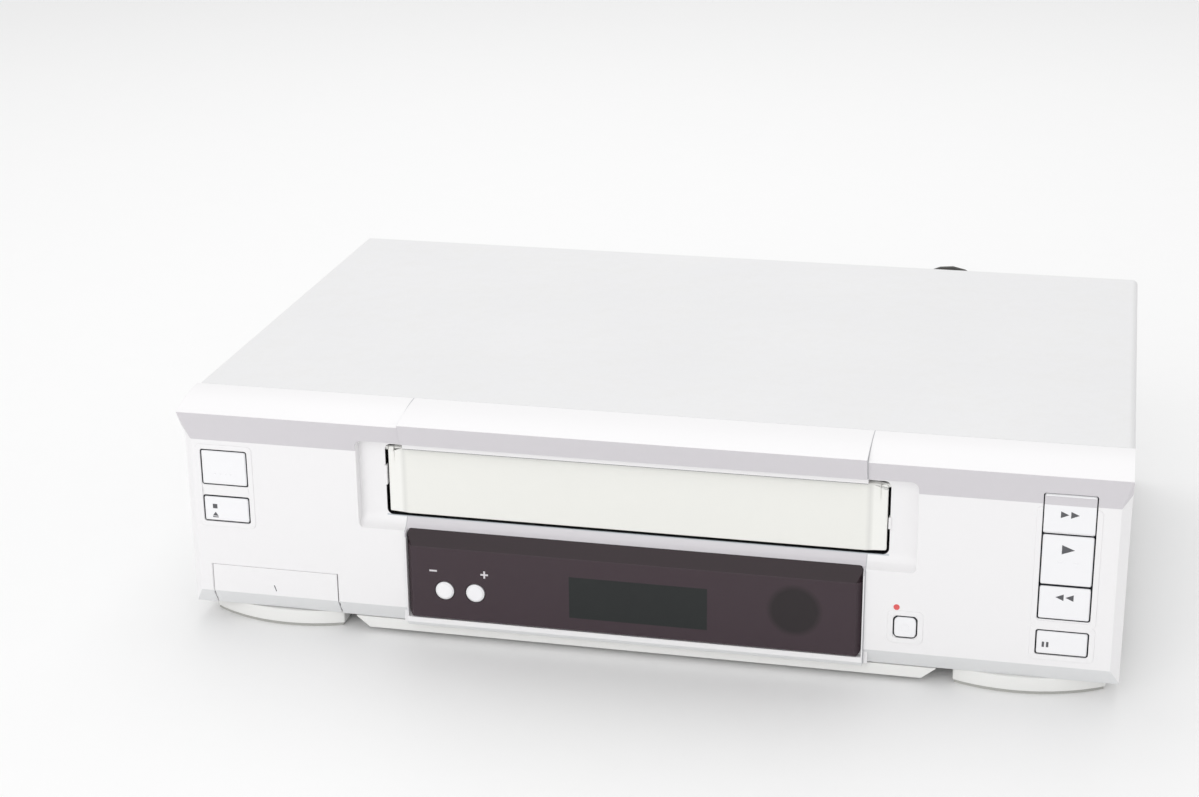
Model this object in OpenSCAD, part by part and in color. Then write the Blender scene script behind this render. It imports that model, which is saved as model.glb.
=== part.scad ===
// Front-loading video cassette recorder: painted steel cover over a moulded
// front and pan, a hinged cassette door, push buttons, and the tape deck inside.
// Millimetres. X runs to the viewer's right, the front faces -Y, Z is up.
// The origin lies on the surface, under the middle of the case.

/* [Case] */
// Width over the cover
case_w = 360; // [356:1:400]
// Height from the surface to the top of the cover
case_h = 94; // [92:0.5:104]
// Depth from the front face to the back edge of the cover
case_d = 228.4; // [226:0.1:280]
// Thickness of the painted steel cover and back panel
sheet = 0.8; // [0.6:0.1:1.2]
// Gap that is left where two case pieces meet
seam = 0.3; // [0.2:0.05:0.5]
// Outer radius of the cover's long edges
cover_r = 2.5; // [1:0.1:4]
// Wall of the moulded pieces
wall = 2.4; // [1.8:0.1:2.6]
// Height of the case's underside above the surface
base_z = 6.8; // [6.4:0.1:8]
// How far the rear sockets stand out of the cover's back edge
jack_reach = 8.3; // [8:0.1:9.5]

/* [Front moulding] */
// Depth of the front moulding, from its face to the cover
bezel_d = 18.5; // [17:0.1:20]
// How far the band overhangs the face
band_lean = 4; // [2:0.1:5]
// Height of the band's lower edge
band_z = 77.6; // [76:0.1:79]
// Height of the band's upper edge
brow_z = 90; // [88:0.1:90.5]
// How far the middle panel stands proud of the face
centre_step = 1.3; // [0.8:0.1:1.6]
// Width of the middle panel
centre_w = 177; // [172:0.5:180]
// Height at which the lower bevel starts
chin_z = 13.5; // [12:0.1:14.5]
// Depth of the lower bevel
chin_d = 3.8; // [3:0.1:4.2]
// Size of the bevel on the upright corners
corner = 3.6; // [2:0.1:4]

/* [Cassette slot] */
// Sideways place of the slot and the deck
deck_x = -2.2; // [-3:0.1:3]
// Width of a standard cassette
cassette_w = 188; // [186:0.5:188]
// Height of a standard cassette
cassette_h = 25; // [24:0.1:25]
// Height of the cassette's underside as it enters
cassette_z = 51.3; // [51.3:0.1:52]
// Width of the recess around the cassette door
pocket_w = 214; // [210:0.5:216]
// Depth of that recess
pocket_d = 4.2; // [4:0.1:4.6]
// Radius of the hollow along the recess's lower edge
cove_r = 7; // [5:0.1:8]
// Height of the recess's upper edge
pocket_top = 82.5; // [82:0.1:84]
// Room between the cassette and the sides of the slot
slot_side = 2.6; // [2:0.1:3]
// Gap around the cassette door
door_gap = 0.7; // [0.5:0.05:0.9]
// Thickness of the cassette door
door_t = 2; // [1.6:0.1:2.2]
// Radius of the cassette door's hinge pins
door_pin_r = 0.9; // [0.8:0.05:1]
// How far the cassette door swings in
door_swing = 88; // [60:1:88]

/* [Display window] */
// Height of the window's lower edge
window_z = 10.9; // [10.6:0.1:12]
// Height of the window's upper edge
window_top = 47.5; // [46:0.1:47.6]
// Height of the bevel along the window's upper edge
window_bevel = 6.6; // [4:0.1:8]
// How far the window stands proud of the middle panel
window_proud = 0.6; // [0.4:0.1:1]

/* [Buttons] */
// Travel of every push button
travel = 0.6; // [0.4:0.1:0.8]
// Gap around the caps
cap_gap = 0.45; // [0.35:0.05:0.6]
// How far the caps stand proud of the face
cap_proud = 0.5; // [0.3:0.1:0.8]
// Width of the rectangular caps
cap_w = 18.3; // [17:0.1:19]
// Distance of the left buttons from the middle of the case
left_x = 163.3; // [162:0.1:164]
// Distance of the right buttons from the middle of the case
right_x = 158.6; // [157:0.1:162]
// Radius of the two channel buttons
channel_r = 3.5; // [3:0.1:4]
// Distance between the channel buttons
channel_pitch = 12.2; // [11.5:0.1:14]

/* [Front socket door] */
// Width of the front socket door
av_w = 52; // [48:0.5:54]
// Height of the door's upper edge
av_top = 25; // [24:0.1:27]
// Distance of the door's middle from the middle of the case
av_x = 145.2; // [144.5:0.1:146]

/* [Feet] */
// Width of the front feet
foot_w = 56; // [50:0.5:58]
// Distance of the feet from the middle of the case
foot_x = 147.5; // [140:0.5:148]
// Radius of the front feet's curved front
foot_r = 60; // [50:1:70]
// Thickness of the pads under the feet
pad_t = 1.2; // [0.8:0.1:2]

/* [Deck] */
// Height of the deck plate's upper face
deck_z = 27; // [26:0.1:28]
// Thickness of the deck plate
deck_t = 1.5; // [1.2:0.1:2]
// Depth of the deck plate
deck_d = 190; // [188:0.5:192]
// Distance between the two reels
reel_pitch = 92; // [90:0.5:94]
// Radius of the reel tables' rims
reel_r = 24; // [22:0.1:26]
// Radius of the head drum
drum_r = 31; // [29:0.1:31]
// Lean of the head drum
drum_tilt = 6; // [0:0.1:8]
// Radius of the capstan
capstan_r = 2; // [1.5:0.05:2.5]
// Radius of the capstan's flywheel
flywheel_r = 25; // [22:0.5:26]
// Radius of the idler's tyre
idler_r = 11; // [10.5:0.1:11.2]
// Length of the idler arm
idler_l = 22; // [21.8:0.1:22.5]
// Radius of the loading cam
cam_r = 17; // [14:0.5:18]
// Teeth on the loading cam
cam_teeth = 36; // [24:2:40]
// How far the cassette carriage slides in
tray_in = 58; // [40:1:60]
// How far the cassette tray drops
tray_drop = 20; // [10:0.5:20]
// Depth of the cassette tray
tray_d = 46; // [40:0.5:48]
// Radius of the guide pins on the tray and its carriage
tray_pin_r = 1.5; // [1.2:0.05:1.8]

/* [Cord] */
// Diameter of the mains cord
cord_d = 4.2; // [3.6:0.1:4.6]
// Gap between two loops of the coil, before it climbs
coil_gap = 1.1; // [1:0.1:1.4]
// Radius of the coil's outer loop
coil_r = 29; // [28:0.5:31]
// Loops in each of the coil's four layers
coil_loops = 2; // [1:1:2]

/* [Hidden] */
$fn = 64;

// Running clearance of a pin in its hole, and the gap of other moving faces
run = 0.05;
clear = 0.4;
eps = 0.01;

// The front face plane, from which depths are counted back
reach_front = band_lean + centre_step;
reach_back = case_d + jack_reach;
face_y = (reach_front - reach_back) / 2;

// Front moulding
half_w = case_w / 2;
brow_run = bezel_d + band_lean;
brow_drop = case_h - brow_z;
brow_r = (brow_run * brow_run + brow_drop * brow_drop) / (2 * brow_drop);
centre_rise = centre_step;
centre_run = brow_run + centre_step;
centre_drop = brow_drop - centre_rise;
centre_r = (centre_run * centre_run + centre_drop * centre_drop)
  / (2 * centre_drop);
band_slope = band_lean / (brow_z - band_z);
tongue = 6;
tongue_t = 1.6;

// Cassette slot and its door
mouth_w = cassette_w + 2 * slot_side;
mouth_z = cassette_z - 0.4;
mouth_top = cassette_z + cassette_h + 3.6;
back_wall = pocket_d + wall;
flap_y = pocket_d - 1;
flap_w = mouth_w - 2 * door_gap;
flap_z = mouth_z + door_gap;
flap_pin_y = flap_y + door_t + 0.2;
flap_pin_z = mouth_top - 1.7;
flap_top = flap_pin_z + 0.8;
flap_reach = norm([flap_pin_y - flap_y, flap_pin_z - flap_z]);
cove_z = mouth_z + 1.6;

// Display window
window_w = centre_w - 1.6;
window_y = -(centre_step + window_proud);
window_back = 1.4;
window_wall = 1.8;
window_seat = 1.5;

// Buttons: [sideways place, height, cap height]
power_at = [-left_x, 66.4, 14];
stop_at = [-left_x, 49.1, 10.1];
ff_at = [right_x, 74.2, 15.6];
play_at = [right_x, 56.2, 19.6];
rewind_at = [right_x, 39.3, 13];
pause_at = [right_x, 23.2, 9.2];
record_at = [101.7, 24.2, 8.2];
channel_z = 23.2;
channel_x = deck_x - 66.7;
ring = 2;
ring_h = 0.35;
flange = 1.2;
flange_t = 1;
stem_r = 1.7;
board_y = 13.4;
board_t = 1.6;
switch_w = 6;
switch_h = 3.6;
plunger_h = 0.8;
switch_y = board_y - switch_h - plunger_h;
stem_y = switch_y - travel - 0.1;
cap_seat = wall + clear;

// Front sockets and their door
av_pin_y = 3.4;
av_pin_z = base_z + 3.4;
av_pin_r = 0.9;
av_door_t = 1.8;
av_back = 15.6;
jack_r = 4.15;
jack_bore_r = 1.65;
front_jack_z = av_pin_z + 7.4;
front_jack_pitch = 18;
front_jack_l = av_back - 6.4;

// Bottom pan
pan_t = 2.2;
pan_rim = 2.4;
pan_wall_h = 14;
pan_y = bezel_d + seam;
pan_back = case_d - sheet;
belly_w = 228;
belly_z = 2;
belly_y = 3.4;
belly_bevel = 6;
pan_floor = base_z + pan_t;
pan_in = half_w - sheet - seam;

// Deck
deck_w = 214;
deck_y = pan_y + 6;
deck_under = deck_z - deck_t;
reel_y = 72;
clutch_y = 92;
drum_y = deck_y + deck_d - drum_r - 4;
drum_base = deck_z + 4;
capstan_x = deck_x + 62;
capstan_y = 140;
cam_x = deck_x + 78;
cam_y = 192;
reel_post_r = 1.5;
clutch_shaft_r = 1.5;
pulley_z = 9.5;
pulley_h = 4;
belt_t = 1.2;
belt_gap = 0.3;
clutch_pulley_r = 15;
capstan_pulley_r = 8;
friction_r = idler_l - idler_r - belt_gap;
wheel_z = deck_z + 2;
idler_z = wheel_z;
reel_gap = reel_r + idler_r + belt_gap;

// Cassette carriage and tray: the tray runs in the carriage, the carriage in
// the brackets, each with its pins in the slots of the next
tray_y = flap_pin_y + flap_reach + 2;
tray_t = 1;
tray_in_w = cassette_w + 1.4;
tray_half = tray_in_w / 2 + tray_t;
car_t = 1.2;
car_in = tray_half + 0.5;
car_out = car_in + car_t;
bracket_t = 1.2;
bracket_in = car_out + 0.5;
bracket_out = bracket_in + bracket_t;
tray_floor = cassette_z - 0.2;
tray_top = cassette_z + cassette_h + 0.3;
tray_pin_z = tray_top - 6;
tray_pins_y = [tray_y + 12, tray_y + tray_d - 14];
car_pin_z = tray_pin_z - 8;
car_pins_y = [tray_y + 4.5, tray_y + tray_d - 5];
car_low = tray_pin_z - tray_drop - 4;
car_top = tray_top + tray_t + 1.2;
bracket_y = tray_y - 2;
bracket_l = car_pins_y[1] + tray_in + 8 - bracket_y;
bracket_top = car_pin_z + 12;

// Tape guides: where each starts, and the straight path to the drum
guide_start = [28, 126];
guide_end = [45, 164];
guide_path = guide_end - guide_start;
guide_travel = norm(guide_path);
guide_angle = atan2(guide_path[1], guide_path[0]);
guide_pin_r = 2.4;
guide_h = 22;

// Pinch roller, drawn open, and its arm's pivot
pinch_pivot = [88, 146];
pinch_r = 6.5;
pinch_close = 20;
pinch_gap = 0.3;
pinch_dir = [4, -7.8];
pinch_shut = [capstan_x - deck_x, capstan_y]
  + (capstan_r + pinch_r + pinch_gap) * pinch_dir / norm(pinch_dir);
pinch_arm_v = pinch_shut - pinch_pivot;
pinch_open = pinch_pivot + turn(pinch_arm_v, pinch_close);
pinch_z = deck_z + 10;
pinch_h = 13;

// Rear sockets: how far each lies from the middle
rear_jack_x = [-50, -32, -14, 4];
rear_jack_z = 40;
antenna_x = 140;
antenna_z = [62, 38];
antenna_r = 4.7;
bush_x = 76;
bush_z = 40;
panel_y = case_d - sheet - 1.4;
panel_t = 1;

// Cord: points from the bush, over a short arch and down to the coil
cord_r = cord_d / 2;
relief = 20;
cord_exit_y = face_y + case_d + relief;
coil_pitch = cord_d + coil_gap;
coil_step = coil_loops + 0.5;
coil_turns = 4 * coil_loops + 1.5;
coil_at = [83, 198];
coil_rings = 24;
cord_points = [
  [bush_x, cord_exit_y, bush_z], [76, 138.1, 40], [76, 143.4, 40.2],
  [76, 148.6, 41.7], [76, 153.1, 44.6], [76, 156.6, 48.7], [76, 158.8, 53.6],
  [76, 159.5, 58.9], [76.2, 159.5, 64.3], [77.7, 159.5, 69.4],
  [80.7, 159.5, 73.8], [84.9, 159.5, 77.2], [89.8, 159.5, 79.2],
  [95.2, 159.5, 79.7], [100.4, 159.5, 78.5], [105.1, 159.5, 75.9],
  [108.7, 159.5, 72], [111.1, 159.5, 67.2], [112, 159.5, 61.9],
  [112, 159.5, 56.6], [112, 159.5, 51.2], [112, 159.5, 45.8],
  [112, 159.5, 40.4], [112, 159.5, 35.1], [112, 159.5, 29.7],
  [112, 159.5, 24.3], [112, 159.6, 19], [112, 161, 13.8], [112, 163.7, 9.2],
  [112, 167.6, 5.5], [112, 172.4, 3.1], [112, 177.7, 2.1], [112, 183.1, 2.1],
  [112, 188.4, 2.1]
];

function turn(v, a) = [
  v[0] * cos(a) - v[1] * sin(a), v[0] * sin(a) + v[1] * cos(a)
];

// ---- shared shapes ----

// Everything but the cord is drawn from the front face plane
module place() translate([0, face_y, 0]) children();

// Extrudes a (depth, height) outline sideways from x0
module along_x(x0, l)
  translate([x0, 0, 0]) rotate([90, 0, 90]) linear_extrude(l) children();

// Extrudes a (sideways, height) outline backwards from depth y0
module facing(y0, t)
  translate([0, y0 + t, 0]) rotate([90, 0, 0]) linear_extrude(t) children();

// A round bar that runs backwards from depth y0
module bar_y(x, z, y0, l, r)
  translate([x, y0, z]) rotate([-90, 0, 0]) cylinder(r = r, h = l);

// A round bar that runs sideways from x
module bar_x(x, y, z, l, r)
  translate([x, y, z]) rotate([0, 90, 0]) cylinder(r = r, h = l);

module rounded(w, h, r) {
  square([w - 2 * r, h], center = true);
  square([w, h - 2 * r], center = true);
  for (sx = [-1, 1], sy = [-1, 1])
    translate([sx * (w / 2 - r), sy * (h / 2 - r)]) circle(r = r);
}

// A round-ended slot from one point, l long
module slot(l, r) {
  translate([0, -r]) square([l, 2 * r]);
  circle(r = r);
  translate([l, 0]) circle(r = r);
}

module box(x0, x1, y0, y1, z0, z1)
  translate([x0, y0, z0]) cube([x1 - x0, y1 - y0, z1 - z0]);

// ---- cover, pan, feet and back ----

module cover_outline(inset) {
  r = cover_r - inset;
  w = case_w - 2 * inset;
  top = case_h - inset;
  low = base_z + pan_rim + seam - (inset > 0 ? 1 : 0);
  translate([-w / 2, low]) square([w, top - r - low]);
  translate([-w / 2 + r, low]) square([w - 2 * r, top - low]);
  for (s = [-1, 1]) translate([s * (w / 2 - r), top - r]) circle(r = r);
}

lip_h = 9;
vent_n = 14;
vent_pitch = 5.4;
vent_r = 1.2;
vent_l = 16;
lip_screws = [-150, 0, 150];
low_screws = [-160, 169];
screw_r = 1.4;
head_r = 3;
head_h = 1.6;

module top_cover() place() color("whitesmoke") difference() {
  union() {
    facing(pan_y, case_d - pan_y) difference() {
      cover_outline(0);
      cover_outline(sheet);
    }
    box(-half_w + cover_r + 1, half_w - cover_r - 1, case_d - sheet, case_d,
      case_h - lip_h, case_h - sheet / 2);
  }
  for (i = [0:vent_n - 1])
    along_x(-half_w - 1, case_w + 2)
      translate([case_d - 22 - i * vent_pitch, 34]) rotate(90)
        slot(vent_l, vent_r);
  for (x = lip_screws)
    bar_y(x, case_h - lip_h / 2 - 0.4, case_d - 3, 5, screw_r + 0.2);
}

module screw_y(x, z, y) {
  bar_y(x, z, y - 6, 6 + eps, screw_r);
  difference() {
    bar_y(x, z, y, head_h, head_r);
    box(x - 2, x + 2, y + head_h - 0.7, y + head_h + 1, z - 0.4, z + 0.4);
    box(x - 0.4, x + 0.4, y + head_h - 0.7, y + head_h + 1, z - 2, z + 2);
  }
}

deck_screws = [for (x = [-100, 100], y = [deck_y + 3.8, deck_y + deck_d - 7])
  [deck_x + x, y]];

module case_screws() place() color("silver") {
  for (x = lip_screws) screw_y(x, case_h - lip_h / 2 - 0.4, case_d);
  for (x = low_screws) screw_y(x, pan_floor + 6, panel_y + panel_t);
  for (p = deck_screws) translate([p[0], p[1], 0]) {
    translate([0, 0, deck_z - 9]) cylinder(r = screw_r, h = 9 + eps);
    translate([0, 0, deck_z]) cylinder(r = head_r, h = head_h);
  }
}

module belly_outline(inset) {
  w = belly_w / 2 - inset;
  polygon([
    [-w, base_z + (inset > 0 ? 5 : eps)], [-w, base_z],
    [-w + belly_bevel, belly_z + inset], [w - belly_bevel, belly_z + inset],
    [w, base_z], [w, base_z + (inset > 0 ? 5 : eps)]
  ]);
}

module pan_boss(x, y, top, r) {
  low = abs(x) < belly_w / 2 - belly_bevel - 2 ? belly_z + pan_t : base_z + 1;
  translate([x, y, low - 0.5]) difference() {
    cylinder(r = r, h = top - low + 0.5);
    translate([0, 0, top - low - 11]) cylinder(r = screw_r + 0.1, h = 13);
  }
}

board_z = pan_floor + 2.4;
pcb_t = 1.6;
board_posts = [
  [-164, 60], [-124, 60], [-164, 196], [-124, 196], [164, 50], [122, 50],
  [164, 130], [122, 130], [-60, 200], [60, 206]
];

module bottom_pan() place() color("white") {
  difference() {
    union() {
      box(-half_w, half_w, pan_y, pan_back, base_z, base_z + pan_rim);
      difference() {
        box(-pan_in, pan_in, pan_y + tongue + 1, panel_y - seam,
          base_z, pan_floor + pan_wall_h);
        box(-pan_in + 2, pan_in - 2, pan_y + tongue + 3, panel_y - seam - 2,
          base_z - 1, pan_floor + pan_wall_h + 1);
        box(-pan_in - 1, pan_in + 1, panel_y - 26, panel_y, board_z - 0.6,
          pan_floor + pan_wall_h + 1);
      }
      for (x = low_screws)
        box(x - 4.5, x + 4.5, panel_y - 5.6, panel_y - seam, base_z + 1, pan_floor + 10.5);
      facing(belly_y, case_d - 14 - belly_y) belly_outline(0);
    }
    facing(belly_y + pan_t, case_d - 14 - belly_y - 2 * pan_t)
      belly_outline(pan_t);
    box(-half_w, half_w, 0, pan_y, base_z - seam, base_z + 6);
    for (x = low_screws)
      bar_y(x, pan_floor + 6, panel_y - 5.2, 6, screw_r + 0.1);
    for (p = deck_screws)
      translate([p[0], p[1], deck_under - 11]) cylinder(r = screw_r + 0.1, h = 13);
    for (x = [-1, 1], i = [0:9])
      translate([x * 142 - 14, 70 + i * 7, base_z - 1]) linear_extrude(5)
        slot(28, 1.2);
    for (x = [-156, 156], y = [84, 160])
      translate([x, y, base_z - 1]) cylinder(r = 2, h = 5);
  }
  for (p = deck_screws) pan_boss(p[0], p[1], deck_under, 4);
  for (p = board_posts) pan_boss(p[0], p[1], board_z, 2.6);
  for (x = [-70, 0, 70])
    box(x - 0.8, x + 0.8, belly_y + pan_t, case_d - 15 - pan_t,
      belly_z + pan_t - 0.5, belly_z + pan_t + 1);
}

module foot_plan(s, inset) intersection() {
  translate([s * (foot_x - 5.5), 2 + foot_r]) circle(r = foot_r - inset, $fn = 128);
  translate([s * foot_x, 20.5]) rounded(foot_w - 2 * inset, 41 - 2 * inset, 4);
}

rear_foot = [150, 198];
rear_foot_r = 11;

module feet() place() color("white") {
  translate([0, 0, pad_t]) linear_extrude(base_z - pad_t)
    for (s = [-1, 1]) foot_plan(s, 0);
  for (s = [-1, 1])
    translate([s * rear_foot[0], rear_foot[1], pad_t])
      cylinder(r1 = rear_foot_r - 1, r2 = rear_foot_r, h = base_z - pad_t);
}

module foot_pads() place() color("gainsboro") {
  linear_extrude(pad_t) for (s = [-1, 1]) foot_plan(s, 0.7);
  for (s = [-1, 1])
    translate([s * rear_foot[0], rear_foot[1], 0])
      cylinder(r = rear_foot_r - 1.8, h = pad_t);
}

panel_top = case_h - sheet - clear;
panel_half = pan_in - seam;

module rear_panel() place() color("silver") difference() {
  union() {
    facing(panel_y, panel_t)
      translate([-panel_half, base_z + pan_rim])
        square([2 * panel_half, panel_top - base_z - pan_rim]);
    box(-panel_half + 12, panel_half - 12, panel_y - 9, panel_y + eps,
      panel_top - panel_t, panel_top);
  }
  for (x = rear_jack_x) bar_y(x, rear_jack_z, panel_y - 1, 3, jack_r + 1.6);
  for (z = antenna_z) bar_y(antenna_x, z, panel_y - 1, 3, antenna_r + 0.3);
  bar_y(bush_x, bush_z, panel_y - 1, 3, 5.6);
  for (i = [0:10])
    facing(panel_y - 1, 3)
      translate([-166 + i * 6, 52]) rotate(90) slot(24, 1.4);
  for (x = lip_screws)
    bar_y(x, case_h - lip_h / 2 - 0.4, panel_y - 1, 3, screw_r + 0.1);
  for (x = low_screws) bar_y(x, pan_floor + 6, panel_y - 1, 3, screw_r + 0.1);
}

// ---- front moulding ----

module flank_outline() {
  intersection() {
    translate([bezel_d, case_h - brow_r]) circle(r = brow_r, $fn = 256);
    translate([-band_lean, brow_z]) square([brow_run, brow_drop]);
  }
  polygon([
    [-band_lean, brow_z], [0, band_z], [0, chin_z], [chin_d, base_z],
    [bezel_d, base_z], [bezel_d, brow_z + 1]
  ]);
}

module centre_outline() {
  front = -band_lean - centre_step;
  top = brow_z + centre_rise;
  intersection() {
    translate([bezel_d, case_h - centre_r]) circle(r = centre_r, $fn = 256);
    translate([front, top]) square([centre_run, centre_drop]);
  }
  polygon([
    [front, top], [front + (top - pocket_top) * band_slope, pocket_top],
    [-centre_step, pocket_top - 3], [-centre_step, base_z + 1.6],
    [-centre_step + 1, base_z], [bezel_d, base_z], [bezel_d, top + 0.6]
  ]);
}

module front_cavity() polygon([
  [wall - band_lean + 1, brow_z - wall], [wall, band_z - 1],
  [wall, chin_z + 1.2], [chin_d + wall - 0.6, base_z + wall],
  [bezel_d + 1, base_z + wall], [bezel_d + 1, case_h - wall],
  [bezel_d - 8, case_h - wall - 0.4]
]);

// The bevel on one upright corner: upright below the band, and leaning along it
module corner_cut() translate([half_w - corner, 0, 0]) rotate([0, 0, -45])
  translate([0, 30, 0]) rotate([90, 0, 0]) linear_extrude(60) polygon([
    [0, base_z - 5], [0, band_z], [(corner + band_lean) / sqrt(2), brow_z],
    [30, brow_z], [30, base_z - 5]
  ]);

module pocket_cut() intersection() {
  along_x(deck_x - pocket_w / 2, pocket_w) {
    translate([-12, cove_z]) square([12 + pocket_d, pocket_top - cove_z]);
    translate([pocket_d - cove_r, cove_z]) circle(r = cove_r);
    translate([-12, cove_z - cove_r])
      square([12 + pocket_d - cove_r, cove_r]);
  }
  translate([deck_x, 0, 0]) facing(-12, 30)
    translate([0, (pocket_top + cove_z - cove_r) / 2])
      rounded(pocket_w, pocket_top - cove_z + cove_r, 3);
}

module mouth_outline(inset) translate([0, (mouth_z + mouth_top) / 2])
  rounded(mouth_w - 2 * inset, mouth_top - mouth_z - 2 * inset, 2.4);

module button_ring(at, w, h) facing(-ring_h, ring_h + 1)
  translate([at[0], at[1]]) difference() {
    rounded(w + 2 * ring, h + 2 * ring, 2);
    rounded(w, h, 1);
  }

cluster_low = rewind_at[1] - rewind_at[2] / 2;
cluster_top = ff_at[1] + ff_at[2] / 2;
cluster_at = [right_x, (cluster_low + cluster_top) / 2];
hole_w = cap_w + 2 * cap_gap;
left_low = stop_at[1] - stop_at[2] / 2;
left_top = power_at[1] + power_at[2] / 2;

module button_hole(at, w, h, r) facing(-8, 20)
  translate([at[0], at[1]]) rounded(w, h, r);

bezel_posts = [
  [-118, 38, wall], [-169, 58, wall], [118, 20, wall], [118, 76, wall],
  [-50, 13.6, window_back + 1], [56, 13.6, window_back + 1]
];

module front_bezel() place() color("whitesmoke") {
  difference() {
    union() {
      difference() {
        union() {
          along_x(-half_w, case_w) flank_outline();
          along_x(deck_x - centre_w / 2, centre_w) centre_outline();
        }
        along_x(-half_w + wall, case_w - 2 * wall) front_cavity();
      }
      // walls round the cassette recess and behind the window
      box(deck_x - pocket_w / 2 - 2, deck_x + pocket_w / 2 + 2, 0.6, back_wall,
        cove_z - cove_r - 2, pocket_top + 2);
      box(deck_x - window_w / 2 - 2.5, deck_x + window_w / 2 + 2.5, 0.6,
        window_back + window_wall, base_z + 0.6, cove_z - cove_r);
      // ears for the cassette door's pins
      for (s = [-1, 1])
        box(deck_x + s * (mouth_w / 2 + 2) - 2, deck_x + s * (mouth_w / 2 + 2) + 2,
          1, flap_pin_y + 3, flap_pin_z - 3, flap_pin_z + 3);
      // jambs for the socket door's pins
      intersection() {
        along_x(-half_w, case_w) flank_outline();
        for (s = [-1, 1])
          box(-av_x + s * (av_w / 2 + 1.8) - 1.8, -av_x + s * (av_w / 2 + 1.8) + 1.8,
            0, 9, base_z, chin_z + 4);
      }
      // tongue that slips under the cover
      facing(bezel_d - 2, tongue + 2) difference() {
        tongue_outline(0);
        tongue_outline(tongue_t);
      }
      for (p = bezel_posts) bar_y(p[0], p[1], p[2] - 0.5, board_y - p[2] + 0.5, 2.8);
      button_ring([-left_x, (left_low + left_top) / 2], hole_w,
        left_top - left_low + 2 * cap_gap);
      button_ring([right_x, (cluster_low + band_z) / 2 - 2], hole_w,
        band_z - cluster_low - 2);
      button_ring(pause_at, hole_w, pause_at[2] + 2 * cap_gap);
      button_ring(record_at, record_at[2] + 2 * cap_gap, record_at[2] + 2 * cap_gap);
    }
    corner_cut();
    mirror([1, 0, 0]) corner_cut();
    pocket_cut();
    translate([deck_x, 0, 0]) facing(0, 12) mouth_outline(0);
    for (s = [-1, 1])
      bar_x(deck_x + s * (mouth_w / 2 + 1.5) - 3.2, flap_pin_y, flap_pin_z, 6.4,
        door_pin_r + run);
    // seat and sight opening of the window
    box(deck_x - window_w / 2 - seam, deck_x + window_w / 2 + seam, -9,
      window_back, window_z - seam, window_top + seam);
    box(deck_x - window_w / 2 + 5, deck_x + window_w / 2 - 5, 0, 9,
      window_z + 5, window_top - window_bevel - 3);
    // push buttons
    button_hole(power_at, hole_w, power_at[2] + 2 * cap_gap, 1);
    button_hole(stop_at, hole_w, stop_at[2] + 2 * cap_gap, 1);
    button_hole(cluster_at, hole_w, cluster_top - cluster_low + 2 * cap_gap, 1);
    button_hole(pause_at, hole_w, pause_at[2] + 2 * cap_gap, 1);
    button_hole(record_at, record_at[2] + 2 * cap_gap,
      record_at[2] + 2 * cap_gap, 2.2);
    // front sockets, and the pins of their door
    box(-av_x - av_w / 2 - seam, -av_x + av_w / 2 + seam, -5, 8.2,
      base_z - 2, av_top + seam);
    bar_x(-av_x - av_w / 2 - 3, av_pin_y, av_pin_z, av_w + 6, av_pin_r + run);
    for (p = bezel_posts) bar_y(p[0], p[1], board_y - 8, 9, 1.1);
  }
}

module tongue_outline(inset) {
  w = case_w - 2 * (sheet + seam + inset);
  top = case_h - sheet - seam - inset;
  low = base_z + pan_rim + seam + (inset > 0 ? -1 : 0);
  r = cover_r - sheet;
  translate([-w / 2, low]) square([w, top - r - low]);
  translate([-w / 2 + r, low]) square([w - 2 * r, top - low]);
  for (s = [-1, 1]) translate([s * (w / 2 - r), top - r]) circle(r = r);
}

module display_window() place() color("#463c42") difference() {
  intersection() {
    along_x(deck_x - window_w / 2, window_w) polygon([
      [window_back, window_z], [window_y + 0.6, window_z],
      [window_y, window_z + 0.8], [window_y, window_top - window_bevel],
      [1.6, window_top], [window_back, window_top]
    ]);
    translate([deck_x, 0, window_z - 1]) linear_extrude(window_top - window_z + 2)
      polygon([
        [-window_w / 2, window_back], [-window_w / 2, 0.2],
        [-window_w / 2 + 2, window_y], [window_w / 2 - 2, window_y],
        [window_w / 2, 0.2], [window_w / 2, window_back]
      ]);
    translate([deck_x, 0, 0]) facing(-9, 20)
      translate([0, (window_z + window_top) / 2])
        rounded(window_w, window_top - window_z, 2.4);
  }
  box(deck_x - window_w / 2 + 4, deck_x + window_w / 2 - 4, window_y + window_wall,
    window_back + 1, window_z + 3, window_top - window_bevel - 1);
  for (s = [-1, 1])
    bar_y(channel_x + s * channel_pitch / 2, channel_z, -9, 20, channel_r + cap_gap);
}

// ---- display, front board and its switches ----

tube_x = 1;
tube_w = 58;
tube_h = 20;
tube_z = 25.4;
tube_t = 5;

module display_tube() place() color("#3e4242") {
  difference() {
    box(tube_x - tube_w / 2, tube_x + tube_w / 2, board_y - tube_t, board_y,
      tube_z - tube_h / 2, tube_z + tube_h / 2);
    box(tube_x - tube_w / 2 + 2.4, tube_x + tube_w / 2 - 2.4, board_y - tube_t - 1,
      board_y - tube_t + 0.3, tube_z - tube_h / 2 + 2, tube_z + tube_h / 2 - 2);
  }
  bar_x(tube_x + tube_w / 2 - eps, board_y - tube_t / 2, tube_z, 3, 1.4);
}

remote_at = [64.3, 27];

module remote_receiver() place() color("#2b2428") {
  box(remote_at[0] - 4, remote_at[0] + 4, board_y - 5, board_y,
    remote_at[1] - 5, remote_at[1] + 5);
  bar_y(remote_at[0], remote_at[1], board_y - 7, 2 + eps, 2.8);
}

switch_list = [
  power_at, stop_at, ff_at, play_at, rewind_at, pause_at, record_at,
  [channel_x - channel_pitch / 2, channel_z],
  [channel_x + channel_pitch / 2, channel_z]
];

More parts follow.
